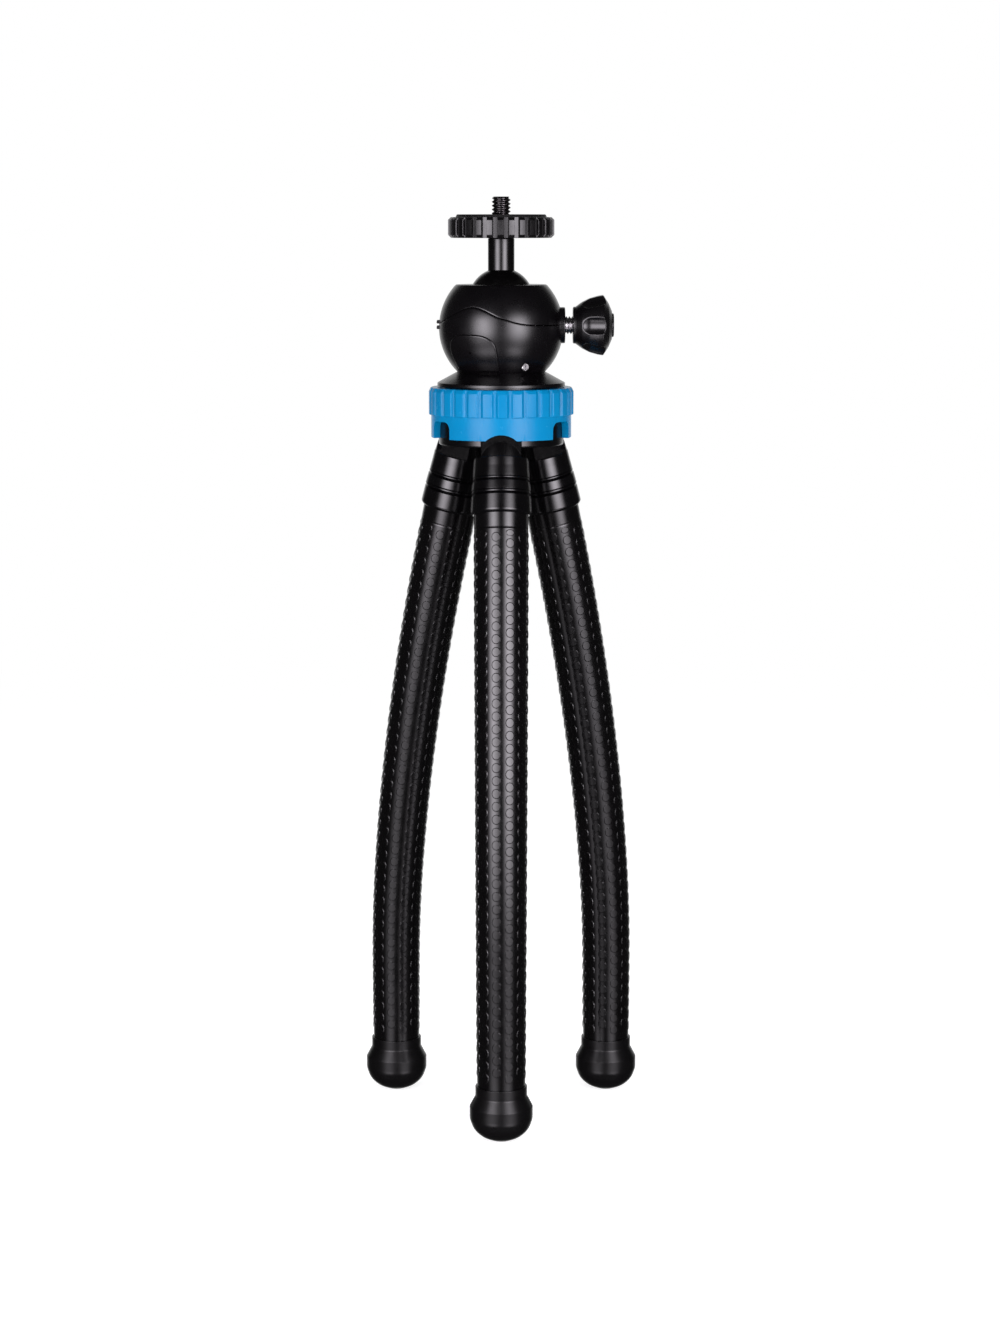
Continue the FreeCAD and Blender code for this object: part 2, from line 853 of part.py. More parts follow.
def knob_screw():
    """Clamp screw with its thread where it shows between the boss and the knob."""
    tip = shoe_back_at + shoe_gap - knob_start
    turns = int(knob_gap_from_boss / knob_screw_pitch)
    showing = turns * knob_screw_pitch
    return knob_placed(turned(outline(
        (0, tip),
        (knob_screw_radius, tip),
        *thread_points(knob_screw_radius, knob_screw_pitch, -showing, turns),
        (knob_screw_radius, screw_end_in_knob),
        (0, screw_end_in_knob),
    )))


def clamp_nut():
    return nut_shape().cut(along_x(knob_screw_radius + turning_gap, 0, boss_reach, housing_centre))


def clamp_shoe():
    """Shoe that the screw presses on the ball's side."""
    rod = along_x(shoe_radius, shoe_face_at, shoe_back_at, housing_centre)
    return rod.cut(Part.makeSphere(ball_radius + shoe_gap, vector(0, 0, ball_centre)))


def all_nodes():
    nodes = {
        "camera_screw": camera_screw(),
        "grip_pad": grip_pad(),
        "lock_wheel": lock_wheel(),
        "ball_stem": ball_stem(),
        "upper_shell": upper_shell(),
        "lower_shell": lower_shell(),
        "ball_seat": ball_seat(),
        "clamp_shoe": clamp_shoe(),
        "clamp_nut": clamp_nut(),
        "knob_screw": knob_screw(),
        "clamp_knob": clamp_knob(),
        "knob_cap": knob_cap(),
        "grub_screw": grub_screw(),
        "head_base": head_base(),
        "head_bolt": head_bolt(),
        "hub_upper": hub_upper(),
        "hub_lower": hub_lower(),
        "hinge_pins": hinge_pins(),
        "lock_ring": lock_ring(),
    }
    sleeves = [first_sleeve()] + [middle_sleeve(link) for link in (1, 2, 3)] + [last_sleeve()]
    cores = [first_core()] + [middle_core() for link in (1, 2, 3)] + [last_core()]
    foot_across = joint_points()[-1][0]
    for leg, direction in leg_directions.items():
        nodes[f"{leg}_leg_collar"] = leg_collar(direction)
        for link in range(len(link_lengths)):
            nodes[f"{leg}_leg_sleeve_{link + 1}"] = placed_on_leg(sleeves[link], link, direction)
            nodes[f"{leg}_leg_core_{link + 1}"] = placed_on_leg(cores[link], link, direction)
        foot = leg_foot()
        foot.translate(vector(foot_across, 0, 0))
        nodes[f"{leg}_leg_foot"] = facing(foot, direction)
    return nodes


os.makedirs("parts", exist_ok=True)
for name, shape in all_nodes().items():
    shape.exportStep(f"parts/{name}.step")
    solids = len(shape.Solids)
    print(f"{name}: {solids} solid, valid {shape.isValid()}, {shape.Volume:.1f} mm3")
print(f"pivot height {pivot_height:.3f}, screw tip {pad_top + camera_thread_showing:.3f}")
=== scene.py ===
import json
import math

import bmesh
import bpy
from mathutils import Matrix, Vector


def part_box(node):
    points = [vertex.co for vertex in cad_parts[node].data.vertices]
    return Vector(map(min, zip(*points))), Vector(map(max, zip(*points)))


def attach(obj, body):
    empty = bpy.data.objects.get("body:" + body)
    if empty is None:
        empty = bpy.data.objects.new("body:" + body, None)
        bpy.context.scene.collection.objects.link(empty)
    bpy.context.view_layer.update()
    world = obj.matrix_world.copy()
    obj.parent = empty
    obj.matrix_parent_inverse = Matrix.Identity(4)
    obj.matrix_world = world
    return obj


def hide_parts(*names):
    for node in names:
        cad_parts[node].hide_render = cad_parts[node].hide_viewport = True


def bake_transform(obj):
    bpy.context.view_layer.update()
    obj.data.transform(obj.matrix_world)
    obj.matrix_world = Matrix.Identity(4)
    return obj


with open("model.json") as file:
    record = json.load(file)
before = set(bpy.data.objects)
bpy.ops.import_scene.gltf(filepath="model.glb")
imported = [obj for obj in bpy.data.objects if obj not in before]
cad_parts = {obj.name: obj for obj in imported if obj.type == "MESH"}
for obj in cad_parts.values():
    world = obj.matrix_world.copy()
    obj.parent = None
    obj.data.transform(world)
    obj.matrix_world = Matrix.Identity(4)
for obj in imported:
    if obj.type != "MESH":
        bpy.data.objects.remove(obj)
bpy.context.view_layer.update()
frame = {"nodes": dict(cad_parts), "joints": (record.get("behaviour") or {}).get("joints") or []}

# Lengths are in millimetres, apart from those of the floor's fade and the lights, and become metres
# when a mesh is made. Angles are in degrees.
MM = 0.001
LEG_ANGLES = {"front": -90.0, "right": 30.0, "left": 150.0}
SQUARE = ((-1, -1), (1, -1), (1, 1), (-1, 1))
JOINTS = {joint["name"]: joint for joint in frame["joints"]}


def low(node):
    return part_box(node)[0] / MM


def high(node):
    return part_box(node)[1] / MM


def middle(node):
    return (low(node) + high(node)) / 2


def joint_point(name):
    return Vector(JOINTS[name]["pos_m"]) / MM


BALL_CENTRE = joint_point("ball_pan")
HOUSING_CENTRE = Vector((0, 0, middle("clamp_knob").z))
HOUSING_RIM = high("upper_shell").z


# Mesh helpers

def sine(degrees):
    return math.sin(math.radians(degrees))


def cosine(degrees):
    return math.cos(math.radians(degrees))


def rotated(degrees, axis):
    return Matrix.Rotation(math.radians(degrees), 4, axis)


def moved(x, y, z):
    return Matrix.Translation((x, y, z))


def smooth_step(value, start, end):
    share = min(1.0, max(0.0, (value - start) / (end - start)))
    return share * share * (3 - 2 * share)


def make_object(name, vertices, faces, material, place=None):
    """Object from vertices in millimetres."""
    mesh = bpy.data.meshes.new(name)
    mesh.from_pydata([tuple(Vector(v) * MM) for v in vertices], [], faces)
    if place is not None:
        move = place.copy()
        move.translation = move.translation * MM
        mesh.transform(move)
    mesh.validate()
    mesh.materials.append(material)
    piece = bpy.data.objects.new(name, mesh)
    bpy.context.scene.collection.objects.link(piece)
    return piece


def smooth(piece, angle=40, weighted=True):
    """Smooth shading that keeps edges sharper than the angle."""
    piece.data.shade_smooth()
    piece.data.set_sharp_from_angle(angle=math.radians(angle))
    if weighted:
        modifier = piece.modifiers.new("Even shading", "WEIGHTED_NORMAL")
        modifier.keep_sharp = True
        modifier.weight = 80
    return piece


def dress(piece, body, slot, *nodes):
    """Puts a finished piece on its body, in the place of these nodes."""
    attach(piece, body)
    if nodes:
        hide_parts(*nodes)
    return piece


def rounded(corners, steps=5):
    """Outline with each corner (x, y, radius) drawn as an arc; no radius keeps it sharp."""
    outline = []
    count = len(corners)
    for index, corner in enumerate(corners):
        here = Vector(corner[:2])
        radius = corner[2] if len(corner) > 2 else 0
        if radius == 0 or index in (0, count - 1):
            outline.append(here)
            continue
        before = Vector(corners[index - 1][:2]) - here
        after = Vector(corners[index + 1][:2]) - here
        half = before.angle(after) / 2
        reach = min(radius / math.tan(half), before.length * 0.49, after.length * 0.49)
        radius = reach * math.tan(half)
        centre = here + (before.normalized() + after.normalized()).normalized() * (radius / math.sin(half))
        first = here + before.normalized() * reach - centre
        last = here + after.normalized() * reach - centre
        turn = first.angle_signed(last)
        for step in range(steps + 1):
            outline.append(centre + Matrix.Rotation(-turn * step / steps, 2) @ first)
    return outline


def outward(piece, closing=0.0):
    """Turns a piece's faces outwards, once holes with edges shorter than this are closed."""
    work = bmesh.new()
    work.from_mesh(piece.data)
    if closing:
        rims = [edge for edge in work.edges if edge.is_boundary]
        short = [edge for edge in rims if edge.calc_length() < closing * MM]
        bmesh.ops.holes_fill(work, edges=short)
    bmesh.ops.recalc_face_normals(work, faces=work.faces)
    work.to_mesh(piece.data)
    work.free()
    return piece


def lathe(name, profile, material, count=96, place=None, start=0.0, sweep=360.0):
    """Turned piece: the profile's x is the radius and its y the height."""
    whole = sweep >= 360
    columns = count if whole else count + 1
    vertices = []
    rows = []
    for point in profile:
        radius, height = point[0], point[1]
        if radius < 1e-6:
            rows.append([len(vertices)] * columns)
            vertices.append((0, 0, height))
            continue
        rows.append(range(len(vertices), len(vertices) + columns))
        for column in range(columns):
            angle = start + sweep * column / count
            vertices.append((radius * cosine(angle), radius * sine(angle), height))
    faces = []
    for below, above in zip(rows, rows[1:]):
        for column in range(count):
            following = (column + 1) % columns
            corners = [below[column], below[following], above[following], above[column]]
            corners = list(dict.fromkeys(corners))
            if len(corners) > 2:
                faces.append(corners)
    if not whole:
        faces.append([row[0] for row in rows])
        faces.append([row[-1] for row in reversed(rows)])
    return outward(make_object(name, vertices, faces, material, place))


def grid(name, rows, material, place=None, hollow=False, ends=False):
    """Surface through closed rows of points. A hollow one joins its last row to its first."""
    vertices = [point for row in rows for point in row]
    columns = len(rows[0])
    faces = []
    for row in range(len(rows) if hollow else len(rows) - 1):
        above = (row + 1) % len(rows)
        for column in range(columns):
            following = (column + 1) % columns
            faces.append([row * columns + column, row * columns + following,
                          above * columns + following, above * columns + column])
    if ends:
        faces.append(list(range(columns))[::-1])
        faces.append(list(range(len(vertices) - columns, len(vertices))))
    return outward(make_object(name, vertices, faces, material, place))


def cut(piece, cutters, operation="DIFFERENCE"):
    """Cuts the piece, keeps only what is inside the cutters or joins them to it, and removes them."""
    for cutter in cutters:
        modifier = piece.modifiers.new("Cut", "BOOLEAN")
        modifier.operation = operation
        modifier.solver = "EXACT"
        modifier.object = cutter
    bpy.context.view_layer.update()
    evaluated = piece.evaluated_get(bpy.context.evaluated_depsgraph_get())
    result = bpy.data.meshes.new_from_object(evaluated)
    piece.modifiers.clear()
    piece.data = result
    for cutter in cutters:
        bpy.data.objects.remove(cutter)
    return piece


def prism(name, outline, depth, material, place=None):
    """Solid with this outline in X and Z, half its depth to each side of Y = 0."""
    front = [(x, -depth / 2, z) for x, z in outline]
    back = [(x, depth / 2, z) for x, z in outline]
    return grid(name, [front, back], material, place, ends=True)


def arc(centre, radius, start, end, steps):
    """Points (x, z) of an arc, at angles counted from the x direction."""
    turn = (end - start) / steps
    angles = [start + turn * step for step in range(steps + 1)]
    return [(centre[0] + radius * cosine(angle), centre[1] + radius * sine(angle)) for angle in angles]


def joined(name, pieces):
    """One object with the meshes of several."""
    work = bmesh.new()
    for piece in pieces:
        work.from_mesh(piece.data)
    mesh = bpy.data.meshes.new(name)
    work.to_mesh(mesh)
    work.free()
    mesh.materials.append(pieces[0].data.materials[0])
    for piece in pieces:
        bpy.data.objects.remove(piece)
    whole = bpy.data.objects.new(name, mesh)
    bpy.context.scene.collection.objects.link(whole)
    return whole


def soften(piece, width, angle=50, steps=2):
    """Small rounding along edges sharper than the angle."""
    modifier = piece.modifiers.new("Rounded edges", "BEVEL")
    modifier.width = width * MM
    modifier.segments = steps
    modifier.limit_method = "ANGLE"
    modifier.angle_limit = math.radians(angle)
    return piece


# Materials

def new_material(name):
    material = bpy.data.materials.new(name)
    material.use_nodes = True
    tree = material.node_tree
    return material, tree.nodes, tree.links, tree.nodes["Principled BSDF"]


def add_node(nodes, kind, values=(), **settings):
    """Shader node with these settings, and with values of its inputs as pairs (name, value)."""
    node = nodes.new("ShaderNode" + kind)
    for name, value in settings.items():
        setattr(node, name, value)
    for name, value in values:
        node.inputs[name].default_value = value
    return node


def add_noise(nodes, links, scale, detail=3.0, stretch=(1, 1, 1)):
    place = add_node(nodes, "TexCoord")
    stretched = add_node(nodes, "Mapping", [("Scale", stretch)])
    noise = add_node(nodes, "TexNoise", [("Scale", scale), ("Detail", detail)])
    links.new(place.outputs["Object"], stretched.inputs["Vector"])
    links.new(stretched.outputs["Vector"], noise.inputs["Vector"])
    return noise.outputs["Fac"]


def add_ramp(nodes, links, source, stops):
    ramp = add_node(nodes, "ValToRGB")
    steps = ramp.color_ramp.elements
    while len(steps) < len(stops):
        steps.new(0.5)
    for step, (position, colour) in zip(steps, stops):
        step.position = position
        step.color = colour
    links.new(source, ramp.inputs["Fac"])
    return ramp.outputs["Color"]


def grey(value):
    return (value, value, value, 1)


CLOUD_SCALE = 90
WEAR_SCALE = 260
GRAIN_HEIGHT = 0.0001


def surface(name, dark, light, roughness, grain, depth, metallic=0.0, stretch=(1, 1, 1), specular=0.5):
    """Moulded or turned surface: two close colours, uneven roughness and a fine grain."""
    material, nodes, links, shader = new_material(name)
    cloud = add_noise(nodes, links, CLOUD_SCALE, stretch=stretch)
    colour = add_ramp(nodes, links, cloud, ((0.3, dark + (1,)), (0.7, light + (1,))))
    links.new(colour, shader.inputs["Base Color"])
    wear = add_noise(nodes, links, WEAR_SCALE, 4, stretch)
    rough = add_ramp(nodes, links, wear, ((0.3, grey(roughness[0])), (0.7, grey(roughness[1]))))
    links.new(rough, shader.inputs["Roughness"])
    fine = add_noise(nodes, links, grain, 2, stretch)
    bump = add_node(nodes, "Bump", [("Strength", depth), ("Distance", GRAIN_HEIGHT)])
    links.new(fine, bump.inputs["Height"])
    links.new(bump.outputs["Normal"], shader.inputs["Normal"])
    shader.inputs["Metallic"].default_value = metallic
    shader.inputs["Specular IOR Level"].default_value = specular
    return material


HOUSING = surface("Polished black plastic", (0.0006, 0.0004, 0.0007), (0.0010, 0.0007, 0.0011),
                  (0.25, 0.30), 1500, 0.05)
STEM = surface("Black lacquered steel", (0.0006, 0.0005, 0.0006), (0.0010, 0.0008, 0.0009), (0.20, 0.26),
               1300, 0.06)
WHEEL = surface("Satin black plastic", (0.0008, 0.0006, 0.0008), (0.0012, 0.0010, 0.0012), (0.27, 0.33),
                1900, 0.08)
KNOB = surface("Knob black plastic", (0.0007, 0.0005, 0.0008), (0.0011, 0.0009, 0.0012), (0.24, 0.30),
               1700, 0.06)
HUB = surface("Hub black plastic", (0.0005, 0.0005, 0.0007), (0.0008, 0.0008, 0.0011), (0.20, 0.26),
              1500, 0.05)
COLLAR = surface("Collar black plastic", (0.0006, 0.0005, 0.0007), (0.0009, 0.0008, 0.0010), (0.15, 0.20),
                 1700, 0.05)
RING = surface("Blue moulded plastic", (0.0, 0.120, 0.262), (0.0, 0.133, 0.281), (0.22, 0.28), 1500, 0.06,
               specular=0.14)
LEG = surface("Black leg rubber", (0.0006, 0.0005, 0.0006), (0.0010, 0.0008, 0.0010), (0.17, 0.23),
              2300, 0.05)
FOOT = surface("Black foot rubber", (0.0010, 0.0008, 0.0010), (0.0015, 0.0013, 0.0015), (0.27, 0.34),
               2000, 0.10, specular=0.35)
PAD = surface("Grip rubber", (0.0020, 0.0018, 0.0018), (0.0035, 0.0032, 0.0032), (0.48, 0.60), 2400, 0.3)
THREAD = surface("Blackened screw steel", (0.085, 0.080, 0.082), (0.120, 0.112, 0.116), (0.24, 0.36),
                 1200, 0.15, metallic=1.0, stretch=(1, 1, 6))
BRIGHT = surface("Bright screw steel", (0.52, 0.51, 0.52), (0.66, 0.65, 0.66), (0.2, 0.32), 1400, 0.12,
                 metallic=1.0)
BRASS = surface("Turned brass", (0.62, 0.42, 0.14), (0.74, 0.53, 0.22), (0.24, 0.36), 1300, 0.12,
                metallic=1.0)
NYLON = surface("White nylon", (0.72, 0.71, 0.68), (0.8, 0.79, 0.76), (0.45, 0.55), 1500, 0.15)
CORE = surface("Grey core plastic", (0.10, 0.10, 0.105), (0.14, 0.14, 0.145), (0.42, 0.52), 1500, 0.15)

NODE_MATERIALS = {
    "ball_seat": NYLON, "clamp_shoe": NYLON, "clamp_nut": BRASS, "head_bolt": BRIGHT, "hinge_pins": BRIGHT,
    "hub_upper": HUB, "hub_lower": HUB,
}
for node in frame["nodes"]:
    if "core" in node:
        NODE_MATERIALS[node] = CORE
for node, material in NODE_MATERIALS.items():
    mesh = frame["nodes"][node].data
    mesh.materials.clear()
    mesh.materials.append(material)


# Camera screw: a helical thread with a chamfered tip
THREAD_LEVELS = 16
THREAD_COLUMNS = 48
THREAD_VALLEY = 0.12
THREAD_FLANK = 0.74


def helix(name, root, crest, pitch, bottom, top, material, tip=0.0, place=None):
    """Threaded rod. Its radius follows the thread's flanks, and narrows to the root at the tip."""
    levels = int((top - bottom) / pitch * THREAD_LEVELS)
    rows = []
    for level in range(levels + 1):
        height = bottom + (top - bottom) * level / levels
        row = []
        for column in range(THREAD_COLUMNS):
            angle = 360.0 * column / THREAD_COLUMNS
            phase = ((height - bottom) / pitch - angle / 360.0) % 1.0
            flank = abs(phase - 0.5) * 2
            rise = min(1.0, max(0.0, (flank - THREAD_VALLEY) / THREAD_FLANK))
            radius = root + (crest - root) * rise
            if tip:
                radius = min(radius, crest - tip + max(0.0, top - height))
            row.append((radius * cosine(angle), radius * sine(angle), height))
        rows.append(row)
    piece = grid(name, rows, material, place, ends=True)
    return smooth(piece, 38, weighted=False)


SCREW_ROOT = 2.5
SCREW_CREST = 3.16
SCREW_PITCH = 1.27
SCREW_SHANK = 9.1
SCREW_CHAMFER = 0.6
thread = helix("camera_screw_thread", SCREW_ROOT, SCREW_CREST, SCREW_PITCH,
               low("camera_screw").z + SCREW_SHANK, high("camera_screw").z, THREAD, tip=SCREW_CHAMFER)
dress(thread, "camera_screw", "steel", "camera_screw")

# Grip pad: a thin rubber disc with fine rings on its top, just clear of the wheel under it
PAD_BORE = 3.4
PAD_GAP = 0.02
PAD_RINGS = 8
PAD_RING_PITCH = 1.3
PAD_RING_DEPTH = 0.14
PAD_FIRST_RING = 14.3
pad_low = low("grip_pad").z + PAD_GAP
pad_high = high("grip_pad").z
pad_profile = [(PAD_BORE, pad_low), (15.3, pad_low), (14.95, pad_high - 0.15), (14.75, pad_high)]
for ring in range(PAD_RINGS):
    outer = PAD_FIRST_RING - ring * PAD_RING_PITCH
    floor = pad_high - PAD_RING_DEPTH
    pad_profile += [(outer, pad_high), (outer - 0.2, floor), (outer - 0.5, floor), (outer - 0.7, pad_high)]
pad_profile += [(PAD_BORE, pad_high), (PAD_BORE, pad_low)]
pad = smooth(lathe("grip_pad_rubber", pad_profile, PAD, 128), 30)
dress(pad, "grip_pad", "pad_rubber", "grip_pad")


# Toothed discs: the lock wheel and the leg-lock ring
TEETH = 30
TOOTH_PITCH = 360.0 / TEETH
TOOTH_EDGE = 0.15


def tooth_depth(angle, land, floor):
    """0 on a tooth's land and 1 on the floor of the groove next to it."""
    away = abs((angle + TOOTH_PITCH / 2) % TOOTH_PITCH - TOOTH_PITCH / 2)
    return smooth_step(away, land / 2, TOOTH_PITCH / 2 - floor / 2)


def tooth_angles(land, floor, flank_steps, turn):
    """Angles that follow each tooth's land, flanks and groove, from the camera's side round."""
    groove = TOOTH_PITCH / 2 - floor / 2
    halves = [0.0, land / 4, land / 2 - TOOTH_EDGE]
    halves += [land / 2 + (groove - land / 2) * step / flank_steps for step in range(flank_steps + 1)]
    halves += [groove + TOOTH_EDGE, TOOTH_PITCH / 2]
    spread = [-angle for angle in halves[:0:-1]] + halves[:-1]
    return [-90.0 + turn + tooth * TOOTH_PITCH + angle for tooth in range(TEETH) for angle in spread]


WHEEL_RADIUS = 17.85
WHEEL_GROOVE = 0.9
WHEEL_LAND = 5.7
WHEEL_FLOOR = 4.4
WHEEL_TURN = -0.7


def wheel_row(radius, height):
    row = []
    for angle in wheel_angles:
        away = tooth_depth(angle + 90.0 - WHEEL_TURN, WHEEL_LAND, WHEEL_FLOOR)
        reach = min(radius, WHEEL_RADIUS - WHEEL_GROOVE * away)
        row.append((reach * cosine(angle), reach * sine(angle), height))
    return row


wheel_angles = tooth_angles(WHEEL_LAND, WHEEL_FLOOR, 3, WHEEL_TURN)
wheel_profile = rounded([(3.3, -0.18), (4.35, -0.18, 0.1), (4.5, 0.0), (12.6, 0, 0.2), (13.0, 0.25, 0.2),
                         (16.8, 0.0, 0.3), (WHEEL_RADIUS, 1.0, 0.5), (WHEEL_RADIUS, 6.0, 0.5),
                         (16.9, 6.9, 0.4), (3.3, 6.9)], 4)
wheel_rows = [wheel_row(radius, low("lock_wheel").z + rise) for radius, rise in wheel_profile]
wheel = smooth(grid("lock_wheel_teeth", wheel_rows, WHEEL, hollow=True), 30)
dress(wheel, "lock_wheel", "wheel_plastic", "lock_wheel")


# Ball and stem
BALL_RADIUS = 11.1
BALL_ANGLES = range(0, 154, 3)
STEM_RADIUS = 4.45
STEM_START = 10.1
stem_high = high("ball_stem").z
ball_outline = [(BALL_RADIUS * sine(angle), BALL_CENTRE.z - BALL_RADIUS * cosine(angle))
                for angle in BALL_ANGLES]
stem_outline = rounded([ball_outline[-1], (STEM_RADIUS, BALL_CENTRE.z + STEM_START, 0.5),
                        (STEM_RADIUS, stem_high, 0.25), (0, stem_high)])
ball = lathe("ball_and_stem", ball_outline + stem_outline[1:], STEM, 96)
dress(smooth(ball, 50), "ball", "stem_metal", "ball_stem")

# Ball housing: two shells that meet in a wavy seam
LOWER_RADIUS = 20.95
UPPER_RADIUS = 20.9
SHELL_DROP = 0.7
SHELL_FOOT = 14.8
SHELL_FOOT_RISE = -15.54
SHELL_COLUMNS = 288
LOWER_STEPS = 48
UPPER_STEPS = 30
SEAM = ((-20.95, 0.7), (-10.0, 6.4), (0.0, 2.8), (8.0, 0.8), (21.5, 0.3))


def seam_rise(x):
    """Height of the seam over the housing's centre."""
    x = min(max(x, SEAM[0][0]), SEAM[-1][0])
    slopes = []
    for index in range(len(SEAM)):
        before = SEAM[max(index - 1, 0)]
        after = SEAM[min(index + 1, len(SEAM) - 1)]
        slopes.append((after[1] - before[1]) / (after[0] - before[0]))
    index = 0
    while x > SEAM[index + 1][0]:
        index += 1
    (x0, z0), (x1, z1) = SEAM[index], SEAM[index + 1]
    width = x1 - x0
    t = (x - x0) / width
    return (z0 * (1 + 2 * t) * (1 - t) ** 2 + slopes[index] * width * t * (1 - t) ** 2
            + z1 * t * t * (3 - 2 * t) - slopes[index + 1] * width * t * t * (1 - t))


def seam_elevation(radius, azimuth):
    """Angle above the shells' centre at which a ball of this radius meets the seam."""
    elevation = 5.0
    for step in range(25):
        across = radius * cosine(elevation) * cosine(azimuth)
        elevation = math.degrees(math.asin((seam_rise(across) + SHELL_DROP) / radius))
    return elevation


def on_housing(radius, azimuth, elevation):
    return (radius * cosine(elevation) * cosine(azimuth), radius * cosine(elevation) * sine(azimuth),
            HOUSING_CENTRE.z - SHELL_DROP + radius * sine(elevation))


def round_row(radius, rise):
    return [(radius * cosine(azimuth), radius * sine(azimuth), HOUSING_CENTRE.z + rise)
            for azimuth in SHELL_AZIMUTHS]


def shell_rows(radius, edge, end, steps):
    """Rows of a shell: its edge along the seam, then its wall to the end elevation."""
    around = list(zip(SHELL_AZIMUTHS, seams))
    rows = [[on_housing(radius - inset, azimuth, seam + aside) for azimuth, seam in around]
            for inset, aside in edge]
    start = edge[-1][1]
    for step in range(1, steps + 1):
        share = step / steps
        rows.append([on_housing(radius, azimuth, (seam + start) * (1 - share) + end * share)
                     for azimuth, seam in around])
    return rows


SHELL_AZIMUTHS = [index * 360.0 / SHELL_COLUMNS for index in range(SHELL_COLUMNS)]
seams = [seam_elevation(LOWER_RADIUS, azimuth) for azimuth in SHELL_AZIMUTHS]
foot_elevation = -math.degrees(math.acos(SHELL_FOOT / LOWER_RADIUS))
lower_rows = shell_rows(LOWER_RADIUS, ((1.6, -0.35), (0.25, -0.35), (0.06, -0.55), (0.0, -1.0)),
                        foot_elevation, LOWER_STEPS)
lower_rows += [round_row(SHELL_FOOT - 0.12, SHELL_FOOT_RISE), round_row(12.5, SHELL_FOOT_RISE),
               round_row(12.5, -12.5), round_row(18.4, -3.0)]
lower_shell = grid("housing_lower", lower_rows, HOUSING, hollow=True)

rim_rise = HOUSING_RIM - HOUSING_CENTRE.z
rim_elevation = math.degrees(math.asin((rim_rise + SHELL_DROP) / UPPER_RADIUS)) - 1.2
upper_rows = shell_rows(UPPER_RADIUS, ((1.5, 0.15), (0.22, 0.15), (0.05, 0.35), (0.0, 0.8)),
                        rim_elevation, UPPER_STEPS)
rim_profile = rounded([(UPPER_RADIUS * cosine(rim_elevation),
                        UPPER_RADIUS * sine(rim_elevation) - SHELL_DROP),
                       (15.15, rim_rise, 0.35), (9.95, rim_rise, 0.25), (10.6, rim_rise - 1.6)], 4)
upper_rows += [round_row(radius, rise) for radius, rise in rim_profile[1:]]
upper_rows += [round_row(11.6, rim_rise - 2.4), round_row(17.0, 9.6)]
upper_shell = grid("housing_upper", upper_rows, HOUSING, hollow=True)

# Boss for the clamp screw, half on each shell
BOSS = rounded([(3.15, 17.2), (6.05, 17.2), (6.05, 21.5, 0.4), (3.15, 21.5, 0.2), (3.15, 17.2)], 4)
ALONG_X = moved(*HOUSING_CENTRE) @ rotated(90, "Y")
boss_upper = lathe("boss_upper", BOSS, HOUSING, 36, ALONG_X, start=93.4, sweep=173.2)
boss_lower = lathe("boss_lower", BOSS, HOUSING, 36, ALONG_X, start=-92.2, sweep=184.4)


def lip(name, low_rise, high_rise):
    """Half of the small lug where the seam ends, opposite the knob."""
    outline = [(-19.5, low_rise), (-21.5, low_rise + 0.1), (-21.75, low_rise + 0.35),
               (-21.6, high_rise - 0.2), (-19.5, high_rise)]
    return prism(name, [(x, HOUSING_CENTRE.z + z) for x, z in outline], 3.2, HOUSING)


# Arch panel, with its edge as (inset, height)
PANEL_LOW = -15.3
PANEL_TOP = -2.45
PANEL_HEART = -8.6
PANEL_HEIGHT = 0.42
PANEL_EDGE = ((0, -0.06), (0.16, 0.14), (0.38, 0.34), (0.6, PANEL_HEIGHT), (0.85, PANEL_HEIGHT))
# Half of its outline: height over the housing's centre, and angle from the panel's middle
PANEL_SIDE = ((PANEL_LOW, 29.3), (-14.4, 29.15), (-13.6, 29), (-12.8, 28.8), (-11.6, 28.5), (-10.4, 28.1),
              (-9.2, 27.7), (-8.0, 27.2), (-7.0, 26.6), (-6.2, 25.8), (-5.5, 24.8), (-4.9, 23.5),
              (-4.3, 21.8), (-3.8, 19.9), (-3.35, 17.6), (-3.0, 15.2), (-2.75, 12.7), (-2.6, 10),
              (-2.5, 6.5), (PANEL_TOP, 3))


def circle_across(rise):
    """The lower shell's radius at this height over the housing's centre."""
    return math.sqrt(LOWER_RADIUS ** 2 - (rise + SHELL_DROP) ** 2)


def raised_panel(name, azimuth):
    """Arch-shaped panel that stands a little proud of the lower shell."""
    corners = [(-angle, rise) for rise, angle in PANEL_SIDE] + [(0, PANEL_TOP)]
    corners += [(angle, rise) for rise, angle in PANEL_SIDE[::-1]]
    corners += [(angle, PANEL_LOW) for angle in (22, 14, 7, 0, -7, -14, -22)]
    flat = [Vector((math.radians(angle) * circle_across(rise), rise)) for angle, rise in corners]
    heart = Vector((0, PANEL_HEART))
    rings = []
    for inset, height in PANEL_EDGE:
        ring = []
        for index, point in enumerate(flat):
            along = (flat[(index + 1) % len(flat)] - flat[index - 1]).normalized()
            inward = Vector((along.y, -along.x))
            if inward.dot(heart - point) < 0:
                inward = -inward
            ring.append((point + inward * inset, height))
        rings.append(ring)
    edge = [point for point, height in rings[-1]]
    for share in (0.25, 0.5, 0.75, 0.95):
        rings.append([(point.lerp(heart, share), PANEL_HEIGHT) for point in edge])
    rows = []
    for ring in rings:
        row = []
        for point, height in ring:
            angle = azimuth + math.degrees(point.x / circle_across(point.y))
            across = math.sqrt((LOWER_RADIUS + height) ** 2 - (point.y + SHELL_DROP) ** 2)
            row.append((across * cosine(angle), across * sine(angle), HOUSING_CENTRE.z + point.y))
        rows.append(row)
    return outward(grid(name, rows, HOUSING), closing=0.1)


PANELS = [raised_panel("panel_left", -121.0), raised_panel("panel_back", 121.0)]
GRUB_ANGLE = -60.5
GRUB_HEIGHT = low("lower_shell").z + 2.14


